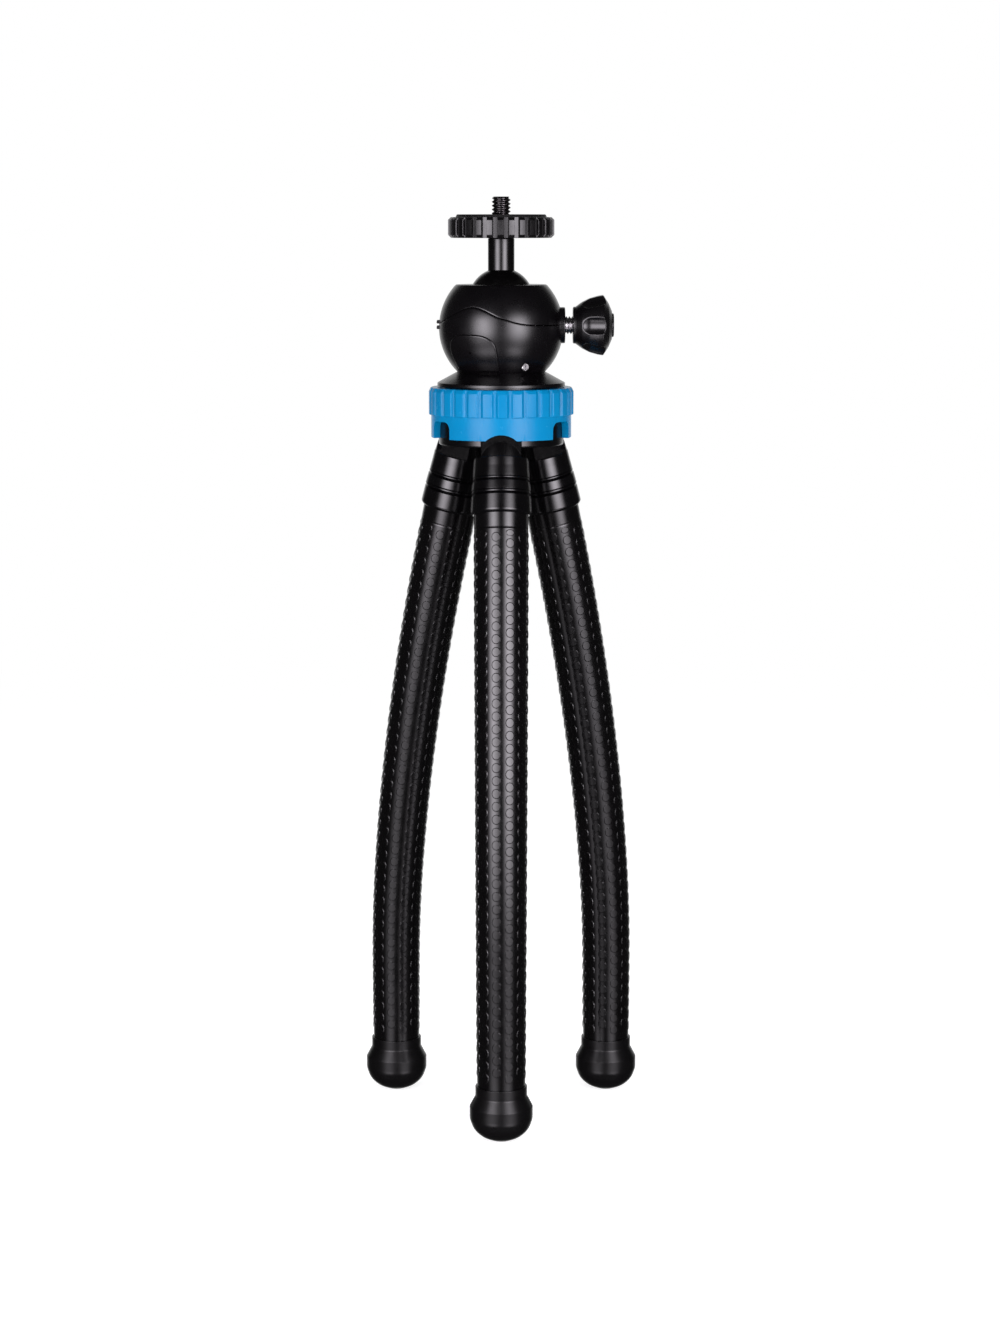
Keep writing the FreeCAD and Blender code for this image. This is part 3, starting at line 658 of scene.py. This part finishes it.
def radial(angle, height):
    """Places a piece built along Z so that it points out from the axis at this angle and height."""
    return rotated(angle, "Z") @ moved(0, 0, height) @ rotated(90, "Y")


recess = lathe("recess", [(0, 14.4), (1.45, 14.4), (1.45, 18.5), (0, 18.5)], HOUSING, 32,
               radial(GRUB_ANGLE, GRUB_HEIGHT))
lower_shell = cut(lower_shell, [recess])
lower_whole = joined("housing_lower_shell",
                     [lower_shell, boss_lower, lip("lip_lower", -1.35, 0.1)] + PANELS)
upper_whole = joined("housing_upper_shell", [upper_shell, boss_upper, lip("lip_upper", 0.5, 1.9)])
dress(smooth(lower_whole, 35), "hub_and_housing", "housing_plastic", "lower_shell")
dress(smooth(upper_whole, 35), "hub_and_housing", "housing_plastic", "upper_shell")

# Grub screw with a slot across its end
SLOT_WIDTH = 0.5
SLOT_DEPTH = 1.6
SLOT_AT = 16.6
grub_profile = [(0, 14.2), (1.3, 14.2), (1.3, 16.35), (1.12, 16.55), (0, 16.55)]
grub = lathe("grub_screw_slotted", grub_profile, BRIGHT, 32, radial(GRUB_ANGLE, GRUB_HEIGHT))
slot = prism("slot", [(x * 2, z * SLOT_WIDTH / 2) for x, z in SQUARE], SLOT_DEPTH, BRIGHT,
             radial(GRUB_ANGLE, GRUB_HEIGHT) @ moved(0, 0, SLOT_AT) @ rotated(90, "X"))
dress(smooth(cut(grub, [slot]), 35), "hub_and_housing", "steel", "grub_screw")

# Flared base of the head
base_low = low("head_base").z
base_high = HOUSING_CENTRE.z + SHELL_FOOT_RISE
base_profile = [(12.0, base_high), (14.6, base_high), (14.85, base_high - 0.02, 0.1)]
base_profile += [(21.5, base_low + 1.12, 0.35), (21.55, base_low, 0.15), (8.0, base_low), (8.0, base_high),
                 (12.0, base_high)]
base_profile = rounded(base_profile, 4)
base = smooth(lathe("head_base_flare", base_profile, HOUSING, 144), 32)
dress(base, "hub_and_housing", "housing_plastic", "head_base")


# Clamp screw, lobed knob and its cap
CLAMP_ROOT = 2.45
CLAMP_CREST = 2.98
CLAMP_PITCH = 1.0
clamp_thread = helix("clamp_screw_thread", CLAMP_ROOT, CLAMP_CREST, CLAMP_PITCH, low("knob_screw").x,
                     high("knob_screw").x, BRIGHT, place=ALONG_X)
dress(clamp_thread, "clamp_knob", "steel", "knob_screw")

KNOB_START = low("clamp_knob").x
KNOB_OUTLINE = rounded([(3.2, 0.0), (6.15, 0.0, 0.45), (6.2, 0.9, 0.3), (7.75, 3.0, 3.0), (9.05, 5.6, 4.0),
                        (9.85, 8.4, 4.0), (10.15, 10.2, 0.6), (7.3, 12.05, 3.0), (4.7, 13.15, 0.4),
                        (4.2, 13.0, 0.1), (4.2, 11.5)], 5)
KNOB_STEP = 0.35
KNOB_PROFILE = []
for here, there in zip(KNOB_OUTLINE, KNOB_OUTLINE[1:] + KNOB_OUTLINE[-1:]):
    parts = max(1, math.ceil((there - here).length / KNOB_STEP))
    KNOB_PROFILE += [here.lerp(there, step / parts) for step in range(parts)]
FLUTE_FROM = 5.0
FLUTE_BALL_END = 6.24
FLUTE_CENTRE = 12.0
FLUTE_RADIUS = 4.5
FLUTE_SLOPE = 0.275
FLUTE_DEEP = 4.667
FLUTE_EDGE = 0.3
FAR_OUT = 99.0


def flute_reach(angle, along):
    """How far out the wall may be beside a round-ended flute that rises towards the knob's end."""
    away = (angle + 30.0) % 60.0 - 30.0
    if along < FLUTE_BALL_END:
        square = FLUTE_RADIUS ** 2 - (along - FLUTE_FROM) ** 2
        if square <= 0:
            return FAR_OUT
        middle_at, deep, wide = FLUTE_CENTRE, math.sqrt(square), math.sqrt(square)
    else:
        middle_at, deep, wide = FLUTE_CENTRE + FLUTE_SLOPE * (along - FLUTE_FROM), FLUTE_DEEP, FLUTE_RADIUS
    first = (cosine(away) / deep) ** 2 + (sine(away) / wide) ** 2
    second = middle_at * cosine(away) / deep ** 2
    inside = second ** 2 - first * ((middle_at / deep) ** 2 - 1)
    if inside <= 0:
        return FAR_OUT
    return (second - math.sqrt(inside)) / first


def knob_radius(radius, angle, along):
    """The turned radius and the flute's, blended over a small rounded edge."""
    hollow = flute_reach(angle, along)
    if hollow - radius > 2 * FLUTE_EDGE:
        return radius
    blend = max(0.0, min(1.0, 0.5 + 0.5 * (hollow - radius) / FLUTE_EDGE))
    return hollow * (1 - blend) + radius * blend - FLUTE_EDGE * blend * (1 - blend)


# Angles away from a flute's middle, close together at its edge
half_flute = [0, 3, 6, 9, 12, 14, 15.2, 16.2, 17, 17.6, 18.3, 19, 19.6, 20.3, 21, 22, 24, 27, 30]
across_flute = [-angle for angle in half_flute[:0:-1]] + half_flute[:-1]
knob_angles = [flute * 60.0 + offset + 90.0 for flute in range(6) for offset in across_flute]
knob_rows = []
for radius, along in KNOB_PROFILE:
    reaches = [knob_radius(radius, angle - 90.0, along) for angle in knob_angles]
    knob_rows.append([(reach * cosine(angle), reach * sine(angle), along)
                      for reach, angle in zip(reaches, knob_angles)])
KNOB_PLACE = moved(KNOB_START, 0, HOUSING_CENTRE.z) @ rotated(90, "Y")
knob = smooth(grid("clamp_knob_lobes", knob_rows, KNOB, KNOB_PLACE, hollow=True), 45)
dress(knob, "clamp_knob", "knob_plastic", "clamp_knob")
cap_profile = rounded([(0, 11.5), (4.0, 11.5), (4.0, 13.8, 0.45), (2.4, 13.8, 0.2), (2.2, 13.55, 0.1),
                       (0, 13.5)], 4)
cap = smooth(lathe("knob_end_cap", cap_profile, KNOB, 64, KNOB_PLACE), 32)
dress(cap, "clamp_knob", "knob_plastic", "knob_cap")


# Leg-lock ring: toothed band over a plain skirt with arches and notches
RING_HIGH = high("lock_ring").z
RING_BAND = RING_HIGH - 9.15
RING_LOW = low("lock_ring").z
RING_TURN = 1.0
RING_LAND = 6.6
RING_FLOOR = 1.0
RING_BORE = 21.2
RING_LIP = 19.72
RING_SKIRT = 23.65
RING_TOOTH = 24.45
ring_angles = tooth_angles(RING_LAND, RING_FLOOR, 4, RING_TURN)


def ring_row(land, floor, height):
    row = []
    for angle in ring_angles:
        groove = tooth_depth(angle + 90.0 - RING_TURN, RING_LAND, RING_FLOOR)
        reach = land + (floor - land) * groove
        row.append((reach * cosine(angle), reach * sine(angle), height))
    return row


# Skirt and inside, as (radius, height), and band, as (radius on a tooth, radius in a groove, height)
skirt = ((RING_BORE, RING_LOW), (23.45, RING_LOW), (23.59, RING_LOW + 0.06), (RING_SKIRT, RING_LOW + 0.2),
         (RING_SKIRT, RING_LOW + 2.6), (RING_SKIRT, RING_LOW + 5.0), (RING_SKIRT, RING_BAND - 0.1))
band = ((23.7, 23.67, RING_BAND), (24.2, 23.69, RING_BAND), (24.38, 23.7, RING_BAND + 0.1),
        (RING_TOOTH, 23.7, RING_BAND + 0.3), (RING_TOOTH, 23.7, RING_BAND + 4.2),
        (RING_TOOTH, 23.7, RING_HIGH - 1.45), (24.35, 23.69, RING_HIGH - 1.2),
        (23.95, 23.66, RING_HIGH - 0.35), (23.8, 23.6, RING_HIGH - 0.1), (23.5, 23.4, RING_HIGH))
inside = ((19.9, RING_HIGH), (RING_LIP, RING_HIGH - 0.2), (RING_LIP, RING_HIGH - 2.0),
          (RING_BORE, RING_HIGH - 2.0), (RING_BORE, RING_BAND))
ring_rows = [ring_row(radius, radius, height) for radius, height in skirt]
ring_rows += [ring_row(land, floor, height) for land, floor, height in band]
ring_rows += [ring_row(radius, radius, height) for radius, height in inside]
ring = grid("leg_lock_ring", ring_rows, RING, hollow=True)
ARCH_RADIUS = 7.49
ARCH_RISE = 2.1
NOTCH_HALF = 5.35
NOTCH_ROUND = 2.6
NOTCH_ASIDE = 2.75
NOTCH_RISE = 3.2
cutters = []
for leg, angle in LEG_ANGLES.items():
    arch = [(0, 12), (ARCH_RADIUS, 12), (ARCH_RADIUS, 30), (0, 30)]
    arch_place = radial(angle, RING_LOW + ARCH_RISE - ARCH_RADIUS)
    cutters.append(lathe(f"arch_{leg}", arch, RING, 96, arch_place))
    notch = [(-NOTCH_HALF, RING_LOW - 3), (NOTCH_HALF, RING_LOW - 3)]
    notch += arc((NOTCH_ASIDE, RING_LOW + NOTCH_RISE), NOTCH_ROUND, 0, 90, 8)
    notch += arc((-NOTCH_ASIDE, RING_LOW + NOTCH_RISE), NOTCH_ROUND, 90, 180, 8)
    notch_place = rotated(angle - 30.0, "Z") @ moved(0, RING_BORE - 0.2, 0)
    cutters.append(prism(f"notch_{leg}", notch, 14, RING, notch_place))
ring = cut(ring, cutters)
soften(ring, 0.12, 60)
dress(smooth(ring, 42), "lock_ring", "ring_plastic", "lock_ring")


# Legs: collars with their tongues

def leg_place(leg):
    """Places a piece built about the hinge pin, with Z up along the leg and X outwards."""
    points = leg_points(leg)
    along = (points[0] - points[1]).normalized()
    aside = Vector((-sine(LEG_ANGLES[leg]), cosine(LEG_ANGLES[leg]), 0))
    across = aside.cross(along)
    turn = Matrix((across, aside, along)).transposed().to_4x4()
    return moved(*points[0]) @ turn


def leg_points(leg):
    """The hinge pin, the flexing joints and the foot's underside."""
    names = ("swing", "bend_1", "sway_1", "bend_2", "sway_2")
    points = [joint_point(f"{leg}_leg_{name}") for name in names]
    foot = middle(f"{leg}_leg_foot")
    return points + [Vector((foot.x, foot.y, 0))]


COLLAR_BANDS = rounded([(0, -13.0), (9.15, -13.0, 0.4), (9.3, -16.0, 8.0), (9.53, -19.4, 0.1), (9.3, -19.6),
                        (9.58, -19.85, 0.2), (9.6, -20.25, 0.2), (9.0, -20.65), (9.72, -21.1, 0.15),
                        (9.95, -23.85, 0.1), (9.7, -24.05), (9.98, -24.3, 0.2), (10.0, -24.8, 0.2),
                        (9.35, -25.25), (10.0, -25.7, 0.15), (10.22, -30.6, 1.0), (10.2, -31.1, 1.0),
                        (9.6, -31.85, 0.3), (8.9, -31.85), (8.0, -31.85), (0, -30.0)], 4)
TONGUE_ROUND = 6.5
TONGUE_FACE = 6.8
TONGUE_WIDTH = 13.2
TONGUE_RADIUS = 9.15
TONGUE_LEAN = 9
TONGUE_ROOT = 14.5
LEDGE = RING_LOW - 0.35
DOME_RADIUS = 7.14


def tongue(leg):
    """Tongue of a collar: a slice of its cylinder with a round end about the hinge pin and a dome
    under the ring's arch."""
    swing = joint_point(f"{leg}_leg_swing")
    pin = Vector((math.hypot(swing.x, swing.y), swing.z))
    joint = leg_points(leg)[1]
    direction = Vector((joint.xy.length - pin.x, joint.z - pin.y)).normalized()
    root = pin + direction * TONGUE_ROOT
    face = pin.x + TONGUE_FACE
    knuckle = arc(pin, TONGUE_ROUND, 180, 0, 20)
    knuckle += [(face, pin.y - TONGUE_ROUND / 2), (face, root.y), (root.x - 9.0, root.y)]
    turn = rotated(LEG_ANGLES[leg], "Z")
    slab = prism(f"slab_{leg}", knuckle, TONGUE_WIDTH, COLLAR, turn)
    shoulder = [(root.x, LEDGE), (root.x + 14, LEDGE), (root.x + 14, root.y), (root.x, root.y)]
    bulge = prism(f"bulge_{leg}", shoulder, TONGUE_WIDTH - 0.01, COLLAR, turn)
    profile = [(0, 0), (DOME_RADIUS, 0), (DOME_RADIUS, 50), (0, 50)]
    dome_place = radial(LEG_ANGLES[leg], LEDGE - DOME_RADIUS)
    dome = lathe(f"dome_{leg}", profile, COLLAR, 128, dome_place)
    slab = cut(slab, [cut(bulge, [dome], "INTERSECT")], "UNION")
    profile = [(0, -4), (TONGUE_RADIUS, -4), (TONGUE_RADIUS, 30), (0, 30)]
    root_place = leg_place(leg) @ moved(0, 0, -TONGUE_ROOT)
    column = lathe(f"column_{leg}", profile, COLLAR, 128, root_place)
    leaning_place = root_place @ rotated(-TONGUE_LEAN, "Y")
    leaning = lathe(f"leaning_{leg}", profile, COLLAR, 128, leaning_place)
    return cut(slab, [column, leaning], "INTERSECT")


for leg in LEG_ANGLES:
    bands = smooth(lathe(f"{leg}_bands", COLLAR_BANDS, COLLAR, 96, leg_place(leg)), 42)
    dress(bands, f"{leg}_leg_1", "collar_plastic", f"{leg}_leg_collar")
    piece = soften(tongue(leg), 0.35, 50, 3)
    piece.name = f"{leg}_tongue"
    dress(smooth(piece, 40), f"{leg}_leg_1", "collar_plastic")

# Feet
FOOT_HIGH = 18.6
FOOT_PROFILE = rounded([(0, 0.0), (3.2, 0.0, 2.0), (6.6, 1.35, 8.0), (9.3, 3.85, 7.0), (10.56, 7.4, 5.0),
                        (10.56, 11.5, 0.4), (8.75, 14.95, 0.5), (8.65, 15.3, 0.4), (8.65, FOOT_HIGH, 0.25),
                        (7.8, FOOT_HIGH)], 6) + [Vector((7.8, 14.0)), Vector((0, 14.0))]
for leg in LEG_ANGLES:
    end = leg_points(leg)[-1]
    foot = smooth(lathe(f"{leg}_foot_boot", FOOT_PROFILE, FOOT, 96, moved(*end)), 32)
    dress(foot, f"{leg}_leg_5", "foot_rubber", f"{leg}_leg_foot")


# Leg skins: rubber with rows of raised oval studs, bending where the links join. Distances run along
# the leg from the hinge pin.
SLEEVE_TOP = 9.1
SLEEVE_END = 8.05
COLLAR_END = 31.85
SKIN_START = 36.7
SKIN_END = 18.2
SKIN_TURN = 11.0
BEND_REACH = 19.0
PITCH = 4.2
STEP = 0.7
STEPS = 6
COLUMNS = 12
COLUMN_WIDTH = 360.0 / COLUMNS
AROUND = 4
STUD_HALVES = (1.53, 1.38)
STUD_EDGE = 0.14
STUD_HEIGHT = 0.11
STUD_SLOPE = 1.1
STUD_FLATNESS = 0.4
STUD_RINGS = ((STUD_EDGE, 0.0, 0.0), (0.05, 0.35, 1.0), (-0.05, 0.75, 1.0), (-STUD_EDGE, 1.0, 0.0),
              (-0.7, 1.0, 0.0))
SKIN_FIRST_STUD = 1.35
SKIN_GROOVE = ((-0.2, 0.0, 0.3), (-0.08, -0.22, 0.6), (0.08, -0.22, -0.6), (0.2, 0.0, -0.3))


def sleeve_radius(distance, length):
    share = (distance - COLLAR_END) / (length - FOOT_HIGH - COLLAR_END)
    return SLEEVE_TOP + (SLEEVE_END - SLEEVE_TOP) * max(0.0, share)


def leg_line(points):
    """Function from a distance along the leg to its centre, direction and outward side."""
    ends = [0.0]
    for here, there in zip(points, points[1:]):
        ends.append(ends[-1] + (there - here).length)
    directions = [(there - here).normalized() for here, there in zip(points, points[1:])]
    aside = directions[0].cross(Vector((0, 0, 1))).normalized()

    def at(distance):
        for index in range(1, len(points) - 1):
            before, after = directions[index - 1], directions[index]
            away = distance - ends[index]
            if abs(away) < BEND_REACH:
                t = (away + BEND_REACH) / (2 * BEND_REACH)
                first = points[index] - before * BEND_REACH
                last = points[index] + after * BEND_REACH
                centre = first.lerp(points[index], t).lerp(points[index].lerp(last, t), t)
                return centre, before.lerp(after, t).normalized(), aside
        index = max(k for k in range(len(directions)) if ends[k] <= distance + 1e-6)
        return points[index] + directions[index] * (distance - ends[index]), directions[index], aside

    return at, ends


class Skin:
    """Skin of part of a leg, built from distances along it and angles around it."""

    def __init__(self, line, length):
        self.line = line
        self.length = length
        self.points = {}
        self.vertices = []
        self.normals = []
        self.faces = []

    def point(self, distance, angle, height=0.0, slope=(0.0, 0.0)):
        """Vertex over the plain rubber, with the slope down along and around the leg."""
        key = (round(distance * 500), round(angle * 500) % 180000, round(height * 500))
        if key in self.points:
            return self.points[key]
        centre, direction, aside = self.line(distance)
        outer = direction.cross(aside)
        if outer.dot(Vector((centre.x, centre.y, 0))) < 0:
            outer = -outer
        out = outer * cosine(angle) + aside * sine(angle)
        around = aside * cosine(angle) - outer * sine(angle)
        self.vertices.append(centre + out * (sleeve_radius(distance, self.length) + height))
        self.normals.append((out + direction * slope[0] + around * slope[1]).normalized())
        self.points[key] = len(self.vertices) - 1
        return self.points[key]

    def face(self, *corners):
        here, there, beyond = [self.vertices[corner] for corner in corners[:3]]
        if (there - here).cross(beyond - there).dot(self.normals[corners[0]]) < 0:
            corners = corners[::-1]
        self.faces.append(corners)

    def stud(self, start, steps, angle, relief=1.0):
        """One cell of skin with its stud: rings from the cell's border in to the stud's middle."""
        span = steps * STEP
        border = [(start, angle + COLUMN_WIDTH * step / AROUND) for step in range(AROUND)]
        border += [(start + STEP * step, angle + COLUMN_WIDTH) for step in range(steps)]
        border += [(start + span, angle + COLUMN_WIDTH * (1 - step / AROUND)) for step in range(AROUND)]
        border += [(start + span - STEP * step, angle) for step in range(steps)]
        middle_distance = start + span / 2
        middle_angle = angle + COLUMN_WIDTH / 2
        radius = sleeve_radius(middle_distance, self.length)
        degree = math.radians(radius)
        halves = (STUD_HALVES[0] * span / PITCH, STUD_HALVES[1])
        rings = [[self.point(distance, turn) for distance, turn in border]]
        for grow, rise, slope in STUD_RINGS:
            ring = []
            for distance, turn in border:
                along = (distance - middle_distance) / span
                across = (turn - middle_angle) / COLUMN_WIDTH
                size = math.hypot(along, across)
                along, across = along / size, across / size
                lean = Vector((along / halves[0], across / halves[1])).normalized()
                lean = lean * STUD_SLOPE * slope * relief
                aside = across * (halves[1] + grow)
                if rise == 1.0:
                    lean.y -= STUD_FLATNESS * aside / radius
                height = STUD_HEIGHT * rise * relief + rise * aside ** 2 / (2 * radius)
                ring.append(self.point(middle_distance + along * (halves[0] + grow),
                                       middle_angle + aside / degree, height, lean))
            rings.append(ring)
        count = len(border)
        for outer_ring, inner_ring in zip(rings, rings[1:]):
            for corner in range(count):
                following = (corner + 1) % count
                self.face(outer_ring[corner], outer_ring[following],
                          inner_ring[following], inner_ring[corner])
        top = self.point(middle_distance, middle_angle, STUD_HEIGHT * relief)
        for corner in range(count):
            self.face(rings[-1][corner], rings[-1][(corner + 1) % count], top)

    def strip(self, rows, angle):
        """Plain skin of one column through rows of (distance, height, slope)."""
        grid_rows = [[self.point(distance, angle + COLUMN_WIDTH * step / AROUND, height, (slope, 0.0))
                      for step in range(AROUND + 1)] for distance, height, slope in rows]
        for above, below in zip(grid_rows, grid_rows[1:]):
            for step in range(AROUND):
                self.face(above[step], above[step + 1], below[step + 1], below[step])


def plain_rows(start, end):
    """Rows between two distances, one cell step apart."""
    steps = max(1, round((end - start) / STEP))
    return [(start + (end - start) * step / steps, 0.0, 0.0) for step in range(steps + 1)]


def leg_skins(leg):
    """The four lengths of a leg's skin, each about one of its flexing joints."""
    points = leg_points(leg)
    line, ends = leg_line(points)
    finish = ends[-1] - SKIN_END
    first_cell = SKIN_START + SKIN_FIRST_STUD
    borders = [0]
    for joint in (1, 2, 3):
        wanted = (ends[joint] + ends[joint + 1]) / 2
        borders.append(round((wanted - first_cell) / PITCH))
    borders.append(int((finish - first_cell - PITCH / 2) / PITCH))
    skins = []
    for part in range(4):
        skin = Skin(line, ends[-1])
        for column in range(COLUMNS):
            angle = SKIN_TURN + COLUMN_WIDTH * (column - 0.5)
            shift = PITCH / 2 if column % 2 else 0.0
            for cell in range(borders[part], borders[part + 1]):
                skin.stud(first_cell + cell * PITCH + shift, STEPS, angle)
            if part == 0:
                rows = plain_rows(COLLAR_END - 0.5, SKIN_START - 0.35)
                rows += [(SKIN_START + away, height, slope) for away, height, slope in SKIN_GROOVE]
                rows.append((first_cell - STEP, 0.0, 0.0))
                if column % 2:
                    skin.stud(first_cell - STEP, 4, angle, relief=0.5)
                else:
                    rows.append((first_cell, 0.0, 0.0))
                skin.strip(rows, angle)
            if part == 3:
                skin.strip(plain_rows(first_cell + borders[4] * PITCH + shift, finish), angle)
        skins.append(skin)
    return skins, points


for leg in LEG_ANGLES:
    skins, points = leg_skins(leg)
    for joint, skin in enumerate(skins, start=1):
        piece = make_object(f"{leg}_skin_{joint}", skin.vertices, skin.faces, LEG)
        piece.data.shade_smooth()
        piece.data.normals_split_custom_set_from_vertices(skin.normals)
        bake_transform(piece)
        replaced = [f"{leg}_leg_sleeve_{joint + 1}"]
        if joint == 1:
            replaced.append(f"{leg}_leg_sleeve_1")
        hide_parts(*replaced)


# Floor that fades to the same white as the background, away from the tripod
BACKGROUND = 1.0
FLOOR_GLOW = 0.78
FLOOR_HALF = 9000
FADE_FROM = 0.25
FADE_TO = 1.1
floor_material, nodes, links, shader = new_material("Pale studio floor")
cloud = add_noise(nodes, links, 3.0)
colour = add_ramp(nodes, links, cloud, ((0.3, grey(0.49)), (0.7, grey(0.51))))
links.new(colour, shader.inputs["Base Color"])
shader.inputs["Roughness"].default_value = 0.9
shader.inputs["Specular IOR Level"].default_value = 0.0
shader.inputs["Emission Color"].default_value = (1, 1, 1, 1)
shader.inputs["Emission Strength"].default_value = FLOOR_GLOW
place = add_node(nodes, "TexCoord")
distance = add_node(nodes, "VectorMath", operation="LENGTH")
fade = add_node(nodes, "MapRange", [("From Min", FADE_FROM), ("From Max", FADE_TO)],
                interpolation_type="SMOOTHSTEP")
white = add_node(nodes, "Emission", [("Color", (1, 1, 1, 1)), ("Strength", BACKGROUND)])
blend = add_node(nodes, "MixShader")
links.new(place.outputs["Object"], distance.inputs[0])
links.new(distance.outputs["Value"], fade.inputs["Value"])
links.new(fade.outputs["Result"], blend.inputs["Fac"])
links.new(shader.outputs["BSDF"], blend.inputs[1])
links.new(white.outputs["Emission"], blend.inputs[2])
links.new(blend.outputs["Shader"], nodes["Material Output"].inputs["Surface"])
corners = [(x * FLOOR_HALF, y * FLOOR_HALF, 0) for x, y in SQUARE]
floor = make_object("studio_floor", corners, [(0, 1, 2, 3)], floor_material)
floor.visible_glossy = False
floor.visible_shadow = False

# Camera
CAMERA_HEIGHT = 304.3
CAMERA_DISTANCE = 1055.8
CAMERA_PITCH = 8.11
CAMERA_ASIDE = -0.4
SENSOR = 36
FOCAL_PIXELS = 3120
PHOTO_PIXELS = 1333
camera_data = bpy.data.cameras.new("Photo camera")
camera_data.lens = SENSOR * FOCAL_PIXELS / PHOTO_PIXELS
camera_data.sensor_width = SENSOR
camera_data.clip_start = 0.02
camera_data.clip_end = 60
camera = bpy.data.objects.new("Photo camera", camera_data)
camera.location = (CAMERA_ASIDE * MM, -CAMERA_DISTANCE * MM, CAMERA_HEIGHT * MM)
camera.rotation_euler = (math.radians(90 - CAMERA_PITCH), 0, 0)
bpy.context.scene.collection.objects.link(camera)
bpy.context.scene.camera = camera


# Lights, in metres. The heights give their brightness from bottom to top.
LIGHT_DISTANCE = 0.65
LIGHT_COLOUR = (0.98, 0.93, 1.0)
HEIGHTS = ((-0.44, 0.45), (-0.24, 0.38), (-0.2, 0.12), (0.0, 0.14), (0.1, 0.62), (0.2, 1.0), (0.42, 1.0),
           (0.56, 0.0))


def soft_box(name, azimuth, spread, power, heights):
    """Tall soft light as wide as its spread in degrees, at an azimuth counted from the camera's.
    It is brightest down its middle, and its power is in watts for each square metre."""
    bottom, top = heights[0][0], heights[-1][0]
    data = bpy.data.lights.new(name, "AREA")
    data.shape = "RECTANGLE"
    data.size = 2 * LIGHT_DISTANCE * math.tan(math.radians(spread / 2))
    data.size_y = top - bottom
    data.energy = power * data.size * data.size_y
    data.color = LIGHT_COLOUR
    data.use_nodes = True
    nodes, links = data.node_tree.nodes, data.node_tree.links
    place = add_node(nodes, "NewGeometry")
    parts = add_node(nodes, "SeparateXYZ")
    links.new(place.outputs["Parametric"], parts.inputs["Vector"])
    across = add_node(nodes, "Math", [(1, 0.5)], operation="SUBTRACT")
    links.new(parts.outputs["X"], across.inputs[0])
    aside = add_node(nodes, "Math", operation="ABSOLUTE")
    links.new(across.outputs["Value"], aside.inputs[0])
    fall = add_node(nodes, "MapRange", [("From Max", 0.5), ("To Min", 1.0), ("To Max", 0.0)],
                    interpolation_type="SMOOTHSTEP")
    links.new(aside.outputs["Value"], fall.inputs["Value"])
    ramp = add_ramp(nodes, links, parts.outputs["Y"],
                    [((height - bottom) / (top - bottom), grey(share)) for height, share in heights])
    both = add_node(nodes, "Math", operation="MULTIPLY")
    links.new(fall.outputs["Result"], both.inputs[0])
    links.new(ramp, both.inputs[1])
    links.new(both.outputs["Value"], nodes["Emission"].inputs["Strength"])
    light = bpy.data.objects.new(name, data)
    away = Vector((sine(azimuth), -cosine(azimuth), 0))
    light.location = away * LIGHT_DISTANCE + Vector((0, 0, (bottom + top) / 2))
    light.rotation_euler = (-away).to_track_quat("-Z", "Y").to_euler()
    light.visible_camera = False
    bpy.context.scene.collection.objects.link(light)


soft_box("Left box", -32, 56, 32.8, HEIGHTS)
soft_box("Right box", 31.5, 54, 35.2, HEIGHTS)

# World: white to the camera and from behind, dim in reflections elsewhere
BEHIND_LIGHT = 0.9
FRONT_LIGHT = 0.03
SOFT_LIGHT = 0.43
world = bpy.data.worlds.new("Studio")
world.use_nodes = True
bpy.context.scene.world = world
nodes, links = world.node_tree.nodes, world.node_tree.links
background = nodes["Background"]
background.inputs["Color"].default_value = (1, 1, 1, 1)
direction = add_node(nodes, "TexCoord")
parts = add_node(nodes, "SeparateXYZ")
behind = add_node(nodes, "MapRange", [("From Min", 0.7), ("From Max", 0.95), ("To Min", FRONT_LIGHT),
                                      ("To Max", BEHIND_LIGHT)], interpolation_type="SMOOTHSTEP")
ray = add_node(nodes, "LightPath")
soft = add_node(nodes, "Mix", [("A", SOFT_LIGHT)])
shown = add_node(nodes, "Mix", [("B", BACKGROUND)])
links.new(direction.outputs["Generated"], parts.inputs["Vector"])
links.new(parts.outputs["Y"], behind.inputs["Value"])
links.new(ray.outputs["Is Glossy Ray"], soft.inputs["Factor"])
links.new(behind.outputs["Result"], soft.inputs["B"])
links.new(ray.outputs["Is Camera Ray"], shown.inputs["Factor"])
links.new(soft.outputs["Result"], shown.inputs["A"])
links.new(shown.outputs["Result"], background.inputs["Strength"])
bpy.context.scene.view_settings.view_transform = "Standard"

bpy.context.view_layer.update()
